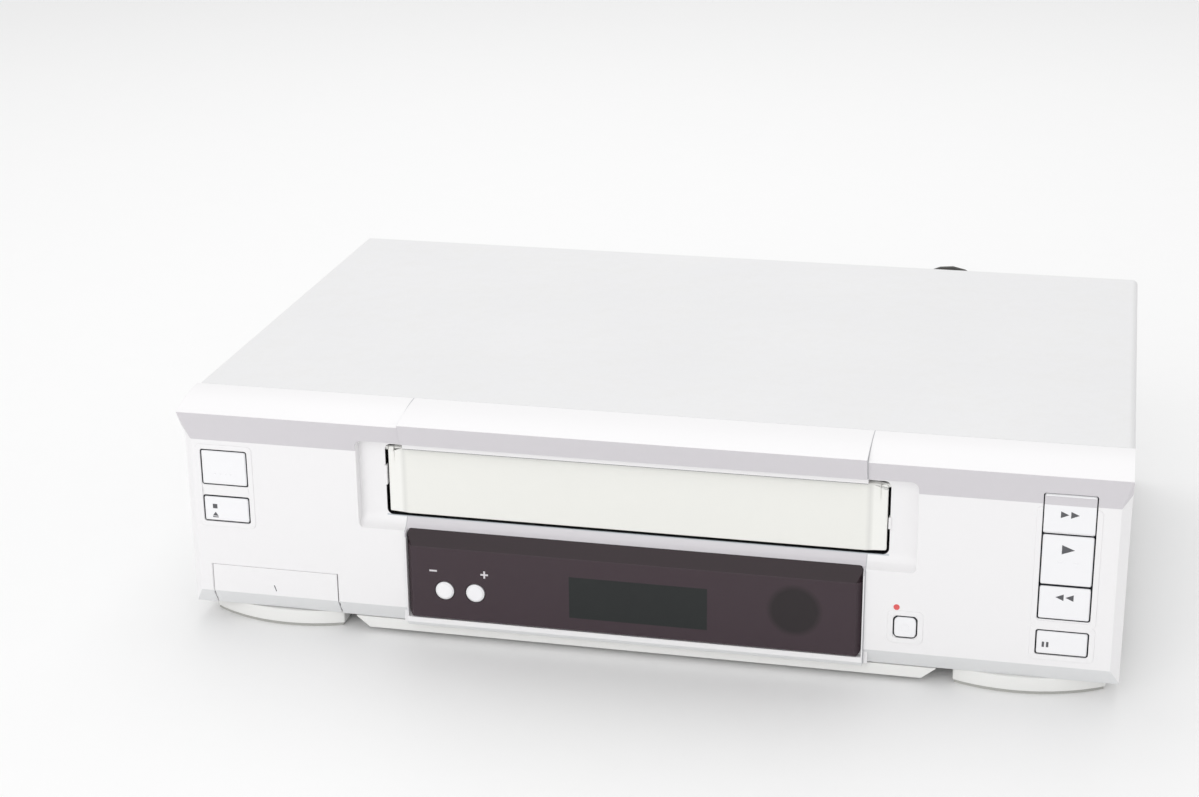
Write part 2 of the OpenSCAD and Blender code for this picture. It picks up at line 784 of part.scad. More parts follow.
module front_board() place() color("#7a5a34") difference() {
  facing(board_y, board_t) {
    translate([-half_w + 8, 11.2]) square([case_w - 16, 32.8]);
    translate([-half_w + 8, 40]) square([half_w - 118, 40]);
    translate([112, 40]) square([half_w - 120, 44]);
  }
  box(-half_w, -av_x + av_w / 2 + 3, board_y - 1, board_y + 3, 5, av_top + 4);
  for (p = bezel_posts) bar_y(p[0], p[1], board_y - 1, 4, 1.3);
}

module push_switches() place() color("#202020")
  for (p = switch_list) {
    box(p[0] - switch_w / 2, p[0] + switch_w / 2, board_y - switch_h, board_y,
      p[1] - switch_w / 2, p[1] + switch_w / 2);
    bar_y(p[0], p[1], switch_y, plunger_h + eps, 1.6);
  }

// ---- push buttons ----

// A cap with bevelled front edges; its side tabs lie behind the face
module cap(at, w, r = 0.8) place() {
  x = at[0];
  z = at[1];
  h = at[2];
  bevel = 0.5;
  intersection() {
    along_x(x - w / 2, w) polygon([
      [cap_seat, z - h / 2], [-cap_proud + bevel, z - h / 2],
      [-cap_proud, z - h / 2 + bevel], [-cap_proud, z + h / 2 - bevel],
      [-cap_proud + bevel, z + h / 2], [cap_seat, z + h / 2]
    ]);
    translate([x, 0, z - h]) linear_extrude(2 * h) polygon([
      [-w / 2, cap_seat], [-w / 2, -cap_proud + bevel],
      [-w / 2 + bevel, -cap_proud], [w / 2 - bevel, -cap_proud],
      [w / 2, -cap_proud + bevel], [w / 2, cap_seat]
    ]);
    translate([x, 0, z]) facing(-5, 20) rounded(w, h, r);
  }
  cap_back(x, z, w, h);
}

module cap_back(x, z, w, h) {
  box(x - w / 2 - flange, x + w / 2 + flange, cap_seat - eps,
    cap_seat + flange_t, z - h / 2, z + h / 2);
  bar_y(x, z, cap_seat + flange_t - eps, stem_y - cap_seat - flange_t, stem_r);
}

module power_button() color("white") cap(power_at, cap_w);
module stop_eject_button() color("white") cap(stop_at, cap_w);
module play_button() color("white") cap(play_at, cap_w);
module rewind_button() color("white") cap(rewind_at, cap_w);
module pause_button() color("white") cap(pause_at, cap_w);
module record_button() color("white") cap(record_at, record_at[2], 2);

// The upper cap follows the overhanging band
module fast_forward_button() color("white") place() {
  x = ff_at[0];
  z = ff_at[1];
  h = ff_at[2];
  tip = -cap_proud - (z + h / 2 - band_z) * band_slope;
  intersection() {
    along_x(x - cap_w / 2, cap_w) polygon([
      [cap_seat, z - h / 2], [-cap_proud + 0.5, z - h / 2],
      [-cap_proud, z - h / 2 + 0.5], [-cap_proud, band_z],
      [tip + 0.2, z + h / 2 - 0.5], [tip + 0.8, z + h / 2],
      [cap_seat, z + h / 2]
    ]);
    translate([x, 0, z]) facing(-8, 20) rounded(cap_w, h, 0.8);
  }
  cap_back(x, z, cap_w, h);
}

module channel_button(s) place() color("white") {
  x = channel_x + s * channel_pitch / 2;
  front = window_y - 0.5;
  translate([x, front, channel_z]) rotate([-90, 0, 0]) {
    cylinder(r1 = channel_r - 0.6, r2 = channel_r, h = 0.6);
    translate([0, 0, 0.6 - eps])
      cylinder(r = channel_r, h = window_wall + 0.5);
    translate([0, 0, window_wall + 0.5 + seam])
      cylinder(r = channel_r + 1.1, h = flange_t);
    translate([0, 0, window_wall])
      cylinder(r = stem_r, h = stem_y - front - window_wall);
  }
}

module channel_down_button() channel_button(-1);
module channel_up_button() channel_button(1);

// ---- front sockets and their door ----

module jack_door() place() color("whitesmoke") {
  x0 = -av_x - av_w / 2 + seam;
  l = av_w - 2 * seam;
  along_x(x0, l) polygon([
    [0, av_top], [0, chin_z], [chin_d - 0.17, base_z + seam],
    [chin_d + 1.2, base_z + seam], [chin_d + 1.2, av_pin_z + 1.4],
    [av_door_t + 1.6, av_pin_z + 1.8], [av_door_t, chin_z + 0.8],
    [av_door_t, av_top]
  ]);
  bar_x(x0 - 2, av_pin_y, av_pin_z, l + 4, av_pin_r);
}

module jack_panel() place() color("gray") {
  x0 = -av_x - av_w / 2 - seam;
  x1 = -av_x + av_w / 2 + seam;
  low = base_z + wall + seam;
  high = av_top + 1;
  difference() {
    box(x0, x1, av_back, av_back + 1.6, low, high + 1.4);
    for (s = [-1, 1])
      bar_y(-av_x + s * front_jack_pitch / 2, front_jack_z, av_back - 1, 4,
        jack_r + 0.2);
  }
  box(x0, x1, 9.4, av_back + eps, low, low + 1.2);
  box(x0, x1, wall + seam, av_back + eps, high, high + 1.4);
  for (x = [x0 - 1.2, x1])
    box(x, x + 1.2, 9.4, av_back + 1.6, low, high + 1.4);
}

// A phono socket with its tip at depth y0, its flange l further back
module phono(x, z, y0, l) difference() {
  union() {
    bar_y(x, z, y0, l + 2, jack_r);
    bar_y(x, z, y0 + l - 1.4, 1.4, jack_r + 1.4);
  }
  bar_y(x, z, y0 - 1, l - 0.5, jack_bore_r);
  difference() {
    bar_y(x, z, y0 - 1, 2.2, jack_r - 0.9);
    bar_y(x, z, y0 - 2, 4, jack_r - 1.7);
  }
}

module front_jacks() place() color("gold") {
  for (s = [-1, 1])
    phono(-av_x + s * front_jack_pitch / 2, front_jack_z, av_back - front_jack_l,
      front_jack_l);
  box(-av_x - front_jack_pitch / 2 - 7, -av_x + front_jack_pitch / 2 + 7,
    av_back + 1.6, av_back + 9, front_jack_z - 6, front_jack_z + 6);
}

// ---- rear sockets, boards and the cord's bush ----

module rear_jacks() place() color("black") {
  for (x = rear_jack_x) mirror([0, 1, 0])
    phono(x, rear_jack_z, -reach_back, reach_back - panel_y - panel_t - 0.2);
  box(rear_jack_x[0] - 9, rear_jack_x[3] + 9, panel_y - 10.6, panel_y - seam,
    board_z + pcb_t, rear_jack_z + 9);
}

can_w = 46;
can_d = 24;
can_h = 62;

module tuner_can() place() color("silver") difference() {
  box(antenna_x - can_w / 2, antenna_x + can_w / 2, panel_y - seam - can_d,
    panel_y - seam, board_z + pcb_t, board_z + pcb_t + can_h);
  for (i = [-2:2])
    translate([antenna_x + i * 7, panel_y - can_d / 2 - 6, board_z + pcb_t + can_h - 1])
      linear_extrude(3) rotate(90) slot(12, 1.2);
}

// A coaxial aerial socket: hexagon base, neck, and its centre hole
module antenna_sockets() place() color("silver")
  for (z = antenna_z) difference() {
    union() {
      bar_y(antenna_x, z, panel_y - seam, case_d + jack_reach - panel_y + seam,
        antenna_r);
      translate([antenna_x, panel_y + panel_t, z]) rotate([-90, 0, 0])
        cylinder(r = antenna_r + 2, h = 2.2, $fn = 6);
    }
    bar_y(antenna_x, z, case_d + jack_reach - 8, 9, 1.1);
  }

module main_board() place() color("#6b7f4a") difference() {
  union() {
    box(-104, pan_in - 8, drum_y - 2, panel_y - 1.2, board_z, board_z + pcb_t);
    box(112, pan_in - 8, pan_y + 9.6, drum_y, board_z, board_z + pcb_t);
    for (x = [-84, -30, 24, 72])
      box(x, x + 18, drum_y + 8, drum_y + 20, board_z + pcb_t - eps,
        board_z + pcb_t + 3);
    for (y = [50, 84, 118, 152])
      box(126, 146, y, y + 14, board_z + pcb_t - eps, board_z + pcb_t + 3.4);
  }
  for (p = deck_screws) translate([p[0], p[1], 0]) cylinder(r = 5, h = 40);
  box(low_screws[1] - 6, low_screws[1] + 20, panel_y - 6.4, panel_y, 5, 30);
  for (p = board_posts) translate([p[0], p[1], 0]) cylinder(r = 1.5, h = 40);
}

module power_board() place() color("#b08a4c") difference() {
  box(-pan_in + 8, -114, pan_y + 24, panel_y - 6, board_z, board_z + pcb_t);
  for (p = board_posts) translate([p[0], p[1], 0]) cylinder(r = 1.5, h = 40);
}

module power_parts() place() color("dimgray") {
  top = board_z + pcb_t;
  box(-158, -126, 126, 158, top, top + 5);
  box(-154, -130, 122, 162, top + 5 - eps, top + 24);
  box(-158, -126, 126, 158, top + 24 - eps, top + 28);
  for (p = [[-150, 100, 9, 30], [-130, 104, 6, 22], [-130, 84, 6, 18],
      [-156, 78, 4, 12], [-128, 180, 8, 16]])
    translate([p[0], p[1], top]) cylinder(r = p[2], h = p[3]);
  box(-164, -161, 168, 206, top, top + 34);
  for (i = [0:7])
    box(-164, -150, 168 + i * 5.2, 169.6 + i * 5.2, top + 3, top + 34);
}

module cord_bush() place() color("black") {
  translate([bush_x, panel_y - 3, bush_z]) rotate([-90, 0, 0]) {
    cylinder(r = 6.8, h = 2.8);
    cylinder(r = 5.5, h = 5);
    translate([0, 0, 3 + panel_t + 0.2]) cylinder(r = 6.8, h = 2);
    translate([0, 0, 3 + panel_t + 2.2 - eps])
      cylinder(r1 = 5, r2 = cord_r + 0.8,
        h = case_d + relief - panel_y - panel_t - 2.2 + eps);
  }
}

// ---- mains cord: a swept tube with a frame that doesn't twist ----

function unit(v) = v / norm(v);
function tangents(p) = [for (i = [0:len(p) - 1])
  unit(p[min(i + 1, len(p) - 1)] - p[max(i - 1, 0)])];
function sides(t, start) = [
  for (i = 0, u = unit(start - (start * t[0]) * t[0]); i < len(t);
    i = i + 1, u = i < len(t) ? unit(u - (u * t[i]) * t[i]) : u) u
];

module tube(p, r, n, start) {
  t = tangents(p);
  u = sides(t, start);
  m = len(p);
  points = [for (i = [0:m - 1], k = [0:n - 1])
    p[i] + r * cos(360 * k / n) * u[i]
      + r * sin(360 * k / n) * cross(t[i], u[i])];
  skin = [for (i = [0:m - 2], k = [0:n - 1]) let (
    a = i * n + k, b = i * n + (k + 1) % n, c = b + n, d = a + n
  ) each [[a, c, b], [a, d, c]]];
  caps = [
    [for (k = [0:n - 1]) k],
    [for (k = [n - 1:-1:0]) (m - 1) * n + k]
  ];
  polyhedron(points, concat(skin, caps));
}

// The coil winds in on the surface and out again, twice over, and climbs in
// the half turn between two layers
function coil_radius(t) = coil_r - coil_pitch * (coil_loops + 0.25)
  + coil_pitch * min(abs(t - coil_loops - 0.25), abs(t - 3 * coil_loops - 1.25));
function coil_height(t) = let (k = floor(t / coil_step))
  cord_r + coil_pitch * (k + max(0, 2 * (t - k * coil_step - coil_loops)));
function coil_point(t) = [
  coil_at[0] + coil_radius(t) * cos(360 * t),
  coil_at[1] + coil_radius(t) * sin(360 * t), coil_height(t)
];
coil_last = coil_point(coil_turns);
coil_in = [coil_at[0] + coil_r, coil_at[1] - cord_d, cord_r];
coil_out = coil_last - [0, cord_d, 0];
coil_points = concat(
  [coil_in],
  [for (i = [0:coil_rings * coil_turns]) coil_point(i / coil_rings)],
  [coil_out]);

tail_points = [
  coil_out, coil_out + [0, -6.3, 0], coil_out + [0, -12.6, -0.2],
  coil_out + [0, -18.8, -1.2], coil_out + [-1.2, -24.8, -2.7],
  coil_out + [-4.1, -30.1, -4.5], coil_out + [-8.3, -34.2, -6.5],
  coil_out + [-13.6, -37, -8.5], coil_out + [-19.6, -38, -10.2],
  coil_out + [-25.7, -38, -11.6], coil_out + [-32, -38, -12.3],
  coil_out + [-38.3, -38, -12.4], coil_out + [-44.6, -38, -12.4]
];

module power_cord_run() color("#4a4740")
  tube(concat(cord_points, [coil_in]), cord_r, 8, [0, 0, 1]);

module power_cord_coil() color("#4a4740")
  tube(coil_points, cord_r, 6, [0, 0, 1]);

module power_cord_tail() color("#4a4740")
  tube(tail_points, cord_r, 8, [0, 0, 1]);

module power_plug() color("#3a3834") {
  at = tail_points[len(tail_points) - 1];
  translate(at) rotate([0, -90, 0]) {
    cylinder(r1 = cord_r + 0.6, r2 = 4.4, h = 8);
    translate([-4.6, -9.5, 8 - eps]) cube([9.2, 19, 14]);
    translate([-5.4, -11, 22 - 2 * eps]) cube([10.8, 22, 3.4]);
    for (s = [-1, 1])
      translate([-3.2, s * 6.35 - 0.75, 25]) cube([6.4, 1.5, 17]);
  }
}

least_gap = min([for (i = [0:len(coil_points) - 1],
  j = [i + coil_rings / 2:len(coil_points) - 1])
  norm(coil_points[i] - coil_points[j])]) - cord_d;
echo(str("least gap of the coil to itself: ", least_gap));

// ---- deck ----

module deck_hole(p, r) translate([p[0], p[1], deck_under - 8])
  cylinder(r = r, h = 24);

module guide_slot(s) translate([deck_x + s * guide_start[0], guide_start[1], deck_under - 1])
  linear_extrude(deck_t + 2) rotate(s > 0 ? guide_angle : 180 - guide_angle)
    slot(guide_travel, guide_pin_r + run);

rest_posts = [for (x = [-72, 72], y = [tray_y + 24, tray_y + 62])
  [deck_x + x, y]];

module deck_plate() place() color("silver") {
  difference() {
    union() {
      box(deck_x - deck_w / 2, deck_x + deck_w / 2, deck_y, deck_y + deck_d,
        deck_under, deck_z);
      for (y = [deck_y + 5, deck_y + deck_d - 2 * deck_t])
        box(deck_x - deck_w / 2 + 16, deck_x + deck_w / 2 - 16, y, y + deck_t,
          deck_under - 6, deck_z - eps);
      translate([deck_x, clutch_y, deck_under - 3])
        cylinder(r = 4, h = deck_t + 4);
    }
    for (p = deck_screws) deck_hole(p, screw_r + 0.2);
    deck_hole([deck_x, clutch_y], clutch_shaft_r + run);
    deck_hole([capstan_x, capstan_y], 5);
    guide_slot(-1);
    guide_slot(1);
    for (p = [[-60, 46], [0, 50], [60, 46], [-84, 180], [0, 118]])
      deck_hole([deck_x + p[0], p[1]], 7);
  }
  for (s = [-1, 1])
    translate([deck_x + s * reel_pitch / 2, reel_y, deck_z - eps]) {
      cylinder(r = 4, h = 0.7);
      cylinder(r = reel_post_r, h = 13);
    }
  translate([cam_x, cam_y, deck_z - eps]) {
    cylinder(r = 4, h = 0.7);
    cylinder(r = reel_post_r, h = 9);
  }
  translate([deck_x + pinch_pivot[0], pinch_pivot[1], deck_z - eps]) {
    cylinder(r = 4, h = pinch_z - deck_z + 4);
    cylinder(r = reel_post_r, h = pinch_z - deck_z + pinch_h + 4);
  }
  for (p = rest_posts) translate([p[0], p[1], deck_z - eps])
    cylinder(r = 3, h = cassette_z - tray_drop - 0.3 - deck_z);
}

module bracket() {
  difference() {
    union() {
      box(bracket_in, bracket_out, bracket_y, bracket_y + bracket_l, deck_z,
        bracket_top);
      box(bracket_in, bracket_out + 7, bracket_y, bracket_y + bracket_l, deck_z,
        deck_z + bracket_t);
      for (y = [bracket_y + 6, bracket_y + bracket_l - 10])
        box(bracket_out - eps, bracket_out + 5, y, y + bracket_t, deck_z, deck_z + 14);
    }
    along_x(bracket_in - 1, bracket_t + 2)
      translate([car_pins_y[0], car_pin_z])
        slot(car_pins_y[1] - car_pins_y[0] + tray_in, tray_pin_r + run);
    along_x(bracket_in - 1, bracket_t + 2)
      for (i = [0:2]) translate([bracket_y + 14 + i * 32, deck_z + 15])
        square([22, 12]);
    for (i = [0:1])
      translate([bracket_out + 3.5, bracket_y + 22 + i * 46, deck_z - 1])
        cylinder(r = 1.6, h = 4);
  }
}

module left_bracket() place() color("silver")
  translate([deck_x, 0, 0]) mirror([1, 0, 0]) bracket();

module right_bracket() place() color("silver")
  translate([deck_x, 0, 0]) bracket();

// ---- cassette carriage and tray ----

module tray_carriage() place() color("gray") translate([deck_x, 0, 0]) {
  for (s = [-1, 1]) {
    difference() {
      box(min(s * car_in, s * car_out), max(s * car_in, s * car_out), tray_y,
        tray_y + tray_d, car_low, car_top + car_t);
      along_x(min(s * car_in, s * car_out) - 1, car_t + 2)
        for (y = tray_pins_y) translate([y, tray_pin_z - tray_drop]) rotate(90)
          slot(tray_drop, tray_pin_r + run);
    }
    for (y = car_pins_y)
      bar_x(s > 0 ? car_out - eps : -car_out - 1.5 + eps, y, car_pin_z, 1.5,
        tray_pin_r);
  }
  difference() {
    box(-car_out + eps, car_out - eps, tray_y + 8, tray_y + tray_d - 4, car_top,
      car_top + car_t);
    box(-60, 60, tray_y + 15, tray_y + tray_d - 11, car_top - 1, car_top + 3);
  }
}

module cassette_tray() place() color("darkgray") translate([deck_x, 0, 0]) {
  low = tray_floor - tray_t;
  high = tray_top + tray_t;
  difference() {
    box(-tray_half, tray_half, tray_y, tray_y + tray_d, tray_top, high);
    box(-52, 52, tray_y - 1, tray_y + 16, tray_top - 1, high + 1);
    for (s = [-1, 1])
      box(s * 74 - 10, s * 74 + 10, tray_y + 14, tray_y + tray_d - 12,
        tray_top - 1, high + 1);
  }
  for (s = [-1, 1]) {
    x0 = min(s * tray_half, s * (tray_half - tray_t));
    box(x0, x0 + tray_t, tray_y, tray_y + tray_d, low, high - eps);
    box(min(s * tray_half, s * (tray_half - 15)),
      max(s * tray_half, s * (tray_half - 15)), tray_y, tray_y + tray_d - 10,
      low, tray_floor);
    box(s * 72 - 8, s * 72 + 8, tray_y + tray_d - 1.2, tray_y + tray_d,
      tray_top - 3, high - eps);
    for (y = tray_pins_y)
      bar_x(s > 0 ? tray_half - eps : -car_out + 0.2 + eps, y, tray_pin_z,
        car_out - 0.2 - tray_half, tray_pin_r);
  }
}

module cassette_door() place() color("ivory") translate([deck_x, 0, 0]) {
  half = flap_w / 2;
  bulge = 0.8;
  intersection() {
    translate([0, 0, flap_z]) linear_extrude(flap_top - flap_z) polygon([
      [-half, flap_y + door_t], [-half, flap_y + bulge + 0.5],
      [-centre_w / 2 - 1, flap_y + bulge * 0.6], [-centre_w / 2 + 1, flap_y],
      [centre_w / 2 - 1, flap_y], [centre_w / 2 + 1, flap_y + bulge * 0.6],
      [half, flap_y + bulge + 0.5], [half, flap_y + door_t]
    ]);
    facing(0, 20) mouth_outline(door_gap);
  }
  bar_x(-half - 2, flap_pin_y, flap_pin_z, 2 * half + 4, door_pin_r);
  for (x = [-half + 3, -half / 2 - 5, half / 2 - 5, half - 13])
    bar_x(x, flap_pin_y, flap_pin_z, 10, door_pin_r + 0.4);
  for (x = [-half + 14, -half / 3, half / 3 - 1, half - 15])
    box(x, x + 1, flap_y + door_t - eps, flap_y + door_t + 1.2, flap_z + 3,
      flap_top - 4);
}

// ---- reels, clutch and idler ----

module reel() {
  difference() {
    union() {
      cylinder(r = reel_r, h = 3);
      cylinder(r = 12, h = 5);
      cylinder(r = 7.5, h = 12);
      for (i = [0:5]) rotate(60 * i)
        translate([5, -1, 3]) cube([5.6, 2, 8]);
      translate([0, 0, 12 - eps]) cylinder(r1 = 7.5, r2 = 4, h = 2.5);
    }
    translate([0, 0, -1]) cylinder(r = reel_post_r + run, h = 20);
    difference() {
      translate([0, 0, 2]) cylinder(r = 20, h = 3);
      translate([0, 0, 1]) cylinder(r = 14, h = 5);
    }
  }
}

module supply_reel() place() color("whitesmoke")
  translate([deck_x - reel_pitch / 2, reel_y, deck_z + 1]) reel();

module takeup_reel() place() color("whitesmoke")
  translate([deck_x + reel_pitch / 2, reel_y, deck_z + 1]) reel();

module belt_groove(r) difference() {
  cylinder(r = r + 1, h = belt_t + 0.6);
  translate([0, 0, -1]) cylinder(r = r - 1, h = belt_t + 3);
}

module clutch_pulley() place() color("white") translate([deck_x, clutch_y, 0]) {
  difference() {
    union() {
      translate([0, 0, pulley_z]) cylinder(r = clutch_pulley_r, h = pulley_h);
      translate([0, 0, pulley_z + pulley_h - eps]) cylinder(r = 10, h = 6);
    }
    translate([0, 0, pulley_z + 1.1]) belt_groove(clutch_pulley_r);
  }
  translate([0, 0, pulley_z - 1]) cylinder(r = clutch_shaft_r, h = idler_z + 9 - pulley_z);
  translate([0, 0, wheel_z]) cylinder(r = friction_r, h = 3);
}

module idler_arm() place() color("silver") {
  z = idler_z + 3.4;
  difference() {
    union() {
      translate([deck_x, clutch_y, z]) cylinder(r = 5, h = 2.4);
      translate([deck_x, clutch_y - idler_l, z]) cylinder(r = 4, h = 1.6);
      box(deck_x - 3, deck_x + 3, clutch_y - idler_l, clutch_y, z, z + 1.6);
    }
    translate([deck_x, clutch_y, z - 1]) cylinder(r = clutch_shaft_r + run, h = 6);
  }
  translate([deck_x, clutch_y - idler_l, idler_z - 0.8])
    cylinder(r = 1.2, h = 4.4);
}

module idler_wheel() place() color("#303030")
  translate([deck_x, clutch_y - idler_l, idler_z]) difference() {
    cylinder(r = idler_r, h = 3);
    translate([0, 0, -1]) cylinder(r = 1.2 + run, h = 5);
  }

module belt_loop(grow) hull() {
  translate([deck_x, clutch_y]) circle(r = clutch_pulley_r - 1 + grow, $fn = 96);
  translate([capstan_x, capstan_y])
    circle(r = capstan_pulley_r - 1 + grow, $fn = 96);
}

module drive_belt() place() color("#202020")
  translate([0, 0, pulley_z + 1.4]) linear_extrude(belt_t) difference() {
    belt_loop(belt_gap + belt_t);
    belt_loop(belt_gap);
  }

// ---- head drum, capstan, heads and guides ----

drum_low_h = 19;
drum_up_h = 16;
drum_gap = 0.5;
drum_shaft_r = 4;

module drum_place() translate([deck_x, drum_y, drum_base])
  rotate([-drum_tilt, 0, 0]) children();

module lower_drum() place() color("silver") difference() {
  union() {
    drum_place() {
      cylinder(r = drum_r - 0.4, h = drum_low_h);
      cylinder(r = drum_r, h = drum_low_h - 7);
    }
    translate([deck_x, drum_y, deck_z]) cylinder(r = drum_r - 8, h = 8);
    for (a = [90, 210, 330]) rotate_at(a) box(0, 6, -4, 4, 0, 3);
  }
  drum_place() translate([0, 0, 1]) cylinder(r = drum_shaft_r + run, h = drum_low_h);
}

module rotate_at(a) translate([deck_x, drum_y, deck_z]) rotate(a)
  translate([drum_r - 10, 0, 0]) children();

module upper_drum() place() color("gainsboro") drum_place() {
  translate([0, 0, 2.2]) cylinder(r = drum_shaft_r, h = drum_low_h);
  difference() {
    translate([0, 0, drum_low_h + drum_gap]) cylinder(r = drum_r, h = drum_up_h);
    for (a = [20, 110, 200, 290]) rotate(a)
      translate([drum_r - 3, -2.5, drum_low_h]) cube([6, 5, 4]);
    difference() {
      translate([0, 0, drum_low_h + drum_up_h - 2]) cylinder(r = 25, h = 5);
      translate([0, 0, drum_low_h + drum_up_h - 3]) cylinder(r = 14, h = 7);
    }
  }
  translate([0, 0, drum_low_h + drum_up_h]) cylinder(r = 9, h = 4);
}

module capstan_housing() place() color("goldenrod")
  translate([capstan_x, capstan_y, 0]) difference() {
    union() {
      translate([0, 0, deck_under - 4.2]) cylinder(r = 4.9, h = 4.2 + deck_t + 8);
      translate([0, 0, deck_under - 1.8]) cylinder(r = 18, h = 1.8);
      for (a = [0:60:300]) rotate(a)
        translate([12, 0, deck_under - 4]) cylinder(r = 3.6, h = 3);
    }
    translate([0, 0, 0]) cylinder(r = capstan_r + run, h = 60);
  }

module capstan_shaft() place() color("silver")
  translate([capstan_x, capstan_y, 0]) {
    translate([0, 0, pulley_z - 1.5])
      cylinder(r = capstan_r, h = deck_z + 23.5 - pulley_z + 1.5);
    difference() {
      union() {
        translate([0, 0, pulley_z]) cylinder(r = capstan_pulley_r, h = pulley_h);
        translate([0, 0, pulley_z + pulley_h - eps])
          cylinder(r = flywheel_r, h = deck_under - 4.6 - pulley_z - pulley_h);
      }
      translate([0, 0, pulley_z + 1.1]) belt_groove(capstan_pulley_r);
    }
  }

module head_block(p, w, d, h, a) translate([deck_x + p[0], p[1], deck_z]) {
  cylinder(r = 5, h = 9);
  translate([0, 0, 9 - eps]) rotate(a) {
    translate([-w / 2, -d / 2, 0]) cube([w, d, h]);
    translate([-w / 2 + 1, -d / 2, 1]) rotate([90, 0, 0]) cube([w - 2, h - 2, 0.8]);
  }
}

module erase_head() place() color("gray") head_block([-62, 150], 9, 7, 14, -20);
module control_head() place() color("gray") head_block([62, 158], 9, 7, 14, 12);

post_at = [[-74, 138], [-60, 166], [75, 148]];

module guide_posts() place() color("silver")
  for (p = post_at) translate([deck_x + p[0], p[1], deck_z]) {
    cylinder(r = 3.4, h = 6);
    cylinder(r = 2, h = guide_h);
    translate([0, 0, guide_h - 1.5]) cylinder(r = 3, h = 1.5);
  }

module guide(s) place() color("gainsboro")
  translate([deck_x + s * guide_start[0], guide_start[1], 0]) {
    translate([0, 0, deck_under - 2.2])
      cylinder(r = guide_pin_r, h = deck_t + 2.8);
    translate([0, 0, deck_under - 2.2]) cylinder(r = 4.2, h = 1.6);
    translate([0, 0, deck_z + 0.4]) {
      cylinder(r = 6, h = 3);
      translate([-s * 6, -4, 0]) rotate(0) translate([-3, 0, 0]) cube([6, 8, 3]);
      cylinder(r = 1.2, h = guide_h);
      translate([0, 0, 5]) cylinder(r = 3, h = guide_h - 7);
      translate([-s * 6.5, 0, 0]) rotate([0, s * 12, 0])
        cylinder(r = 1.2, h = guide_h - 4);
    }
  }

module supply_guide() guide(-1);
module takeup_guide() guide(1);

module pinch_arm() place() color("silver") {
  z = pinch_z + pinch_h + 0.5;
  p = [deck_x + pinch_pivot[0], pinch_pivot[1]];
  q = [deck_x + pinch_open[0], pinch_open[1]];
  difference() {
    union() {
      translate([p[0], p[1], pinch_z + 4.3]) cylinder(r = 4, h = pinch_h - 2.2);
      translate([q[0], q[1], z]) cylinder(r = 3.6, h = 1.6);
      translate([p[0], p[1], z])
        rotate(atan2(q[1] - p[1], q[0] - p[0])) translate([0, -3, 0])
          cube([norm(q - p), 6, 1.6]);
    }
    translate([p[0], p[1], pinch_z]) cylinder(r = reel_post_r + run, h = 30);
  }
  translate([q[0], q[1], pinch_z + 1]) cylinder(r = 1, h = z - pinch_z);
}

module pinch_roller() place() color("#303030")
  translate([deck_x + pinch_open[0], pinch_open[1], pinch_z]) difference() {
    cylinder(r = pinch_r, h = pinch_h);
    translate([0, 0, -1]) cylinder(r = 1 + run, h = pinch_h + 2);
  }

// ---- loading cam and its motor ----

module cam_gear() place() color("white") translate([cam_x, cam_y, deck_z + 1])
  difference() {
    union() {
      linear_extrude(4) polygon([for (i = [0:cam_teeth - 1])
        let (a = 360 * i / cam_teeth, p = 360 / cam_teeth)
          each [
            cam_r * [cos(a - p * 0.28), sin(a - p * 0.28)],
            (cam_r + 1.4) * [cos(a - p * 0.12), sin(a - p * 0.12)],
            (cam_r + 1.4) * [cos(a + p * 0.12), sin(a + p * 0.12)],
            cam_r * [cos(a + p * 0.28), sin(a + p * 0.28)]
          ]]);
      cylinder(r = 5, h = 7);
    }
    translate([0, 0, -1]) cylinder(r = reel_post_r + run, h = 10);
    translate([2, 0, 2.4]) difference() {
      cylinder(r = 12.5, h = 3);
      translate([0, 0, -1]) cylinder(r = 10, h = 5);
    }
  }

module loading_motor() place() color("dimgray") {
  x = cam_x - cam_r - 10.5;
  box(x - 8, x + 8, cam_y - 8, cam_y + 8, deck_z, deck_z + 18);
  translate([x, cam_y, deck_z + 18 - eps]) cylinder(r = 8, h = 26);
  translate([x, cam_y, deck_z + 44 - 2 * eps]) cylinder(r = 3, h = 2);
}

top_cover();
case_screws();
front_bezel();
bottom_pan();
feet();
foot_pads();
rear_panel();
display_window();
display_tube();
remote_receiver();
front_board();
push_switches();
jack_panel();
front_jacks();
rear_jacks();
tuner_can();
antenna_sockets();
main_board();
power_board();
power_parts();
cord_bush();
power_cord_run();
power_cord_coil();
power_cord_tail();
power_plug();
deck_plate();
left_bracket();
right_bracket();
lower_drum();
capstan_housing();
erase_head();
control_head();
guide_posts();
loading_motor();
drive_belt();
cassette_door();
jack_door();
power_button();
stop_eject_button();
fast_forward_button();
play_button();
rewind_button();
pause_button();
record_button();
channel_down_button();
channel_up_button();
tray_carriage();
cassette_tray();
upper_drum();
capstan_shaft();
clutch_pulley();
idler_arm();
idler_wheel();
supply_reel();
takeup_reel();
pinch_arm();
pinch_roller();
supply_guide();
takeup_guide();
cam_gear();
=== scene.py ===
"""A silver-white video cassette recorder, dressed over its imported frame.

Part coordinates in this file are millimetres: x to the right, depth behind the
flat front face, and z above the surface that the recorder stands on.
"""

import logging
import math
from dataclasses import dataclass, field
from enum import Enum
from typing import Iterable, Sequence

import bmesh
import bpy
from mathutils import Matrix, Vector


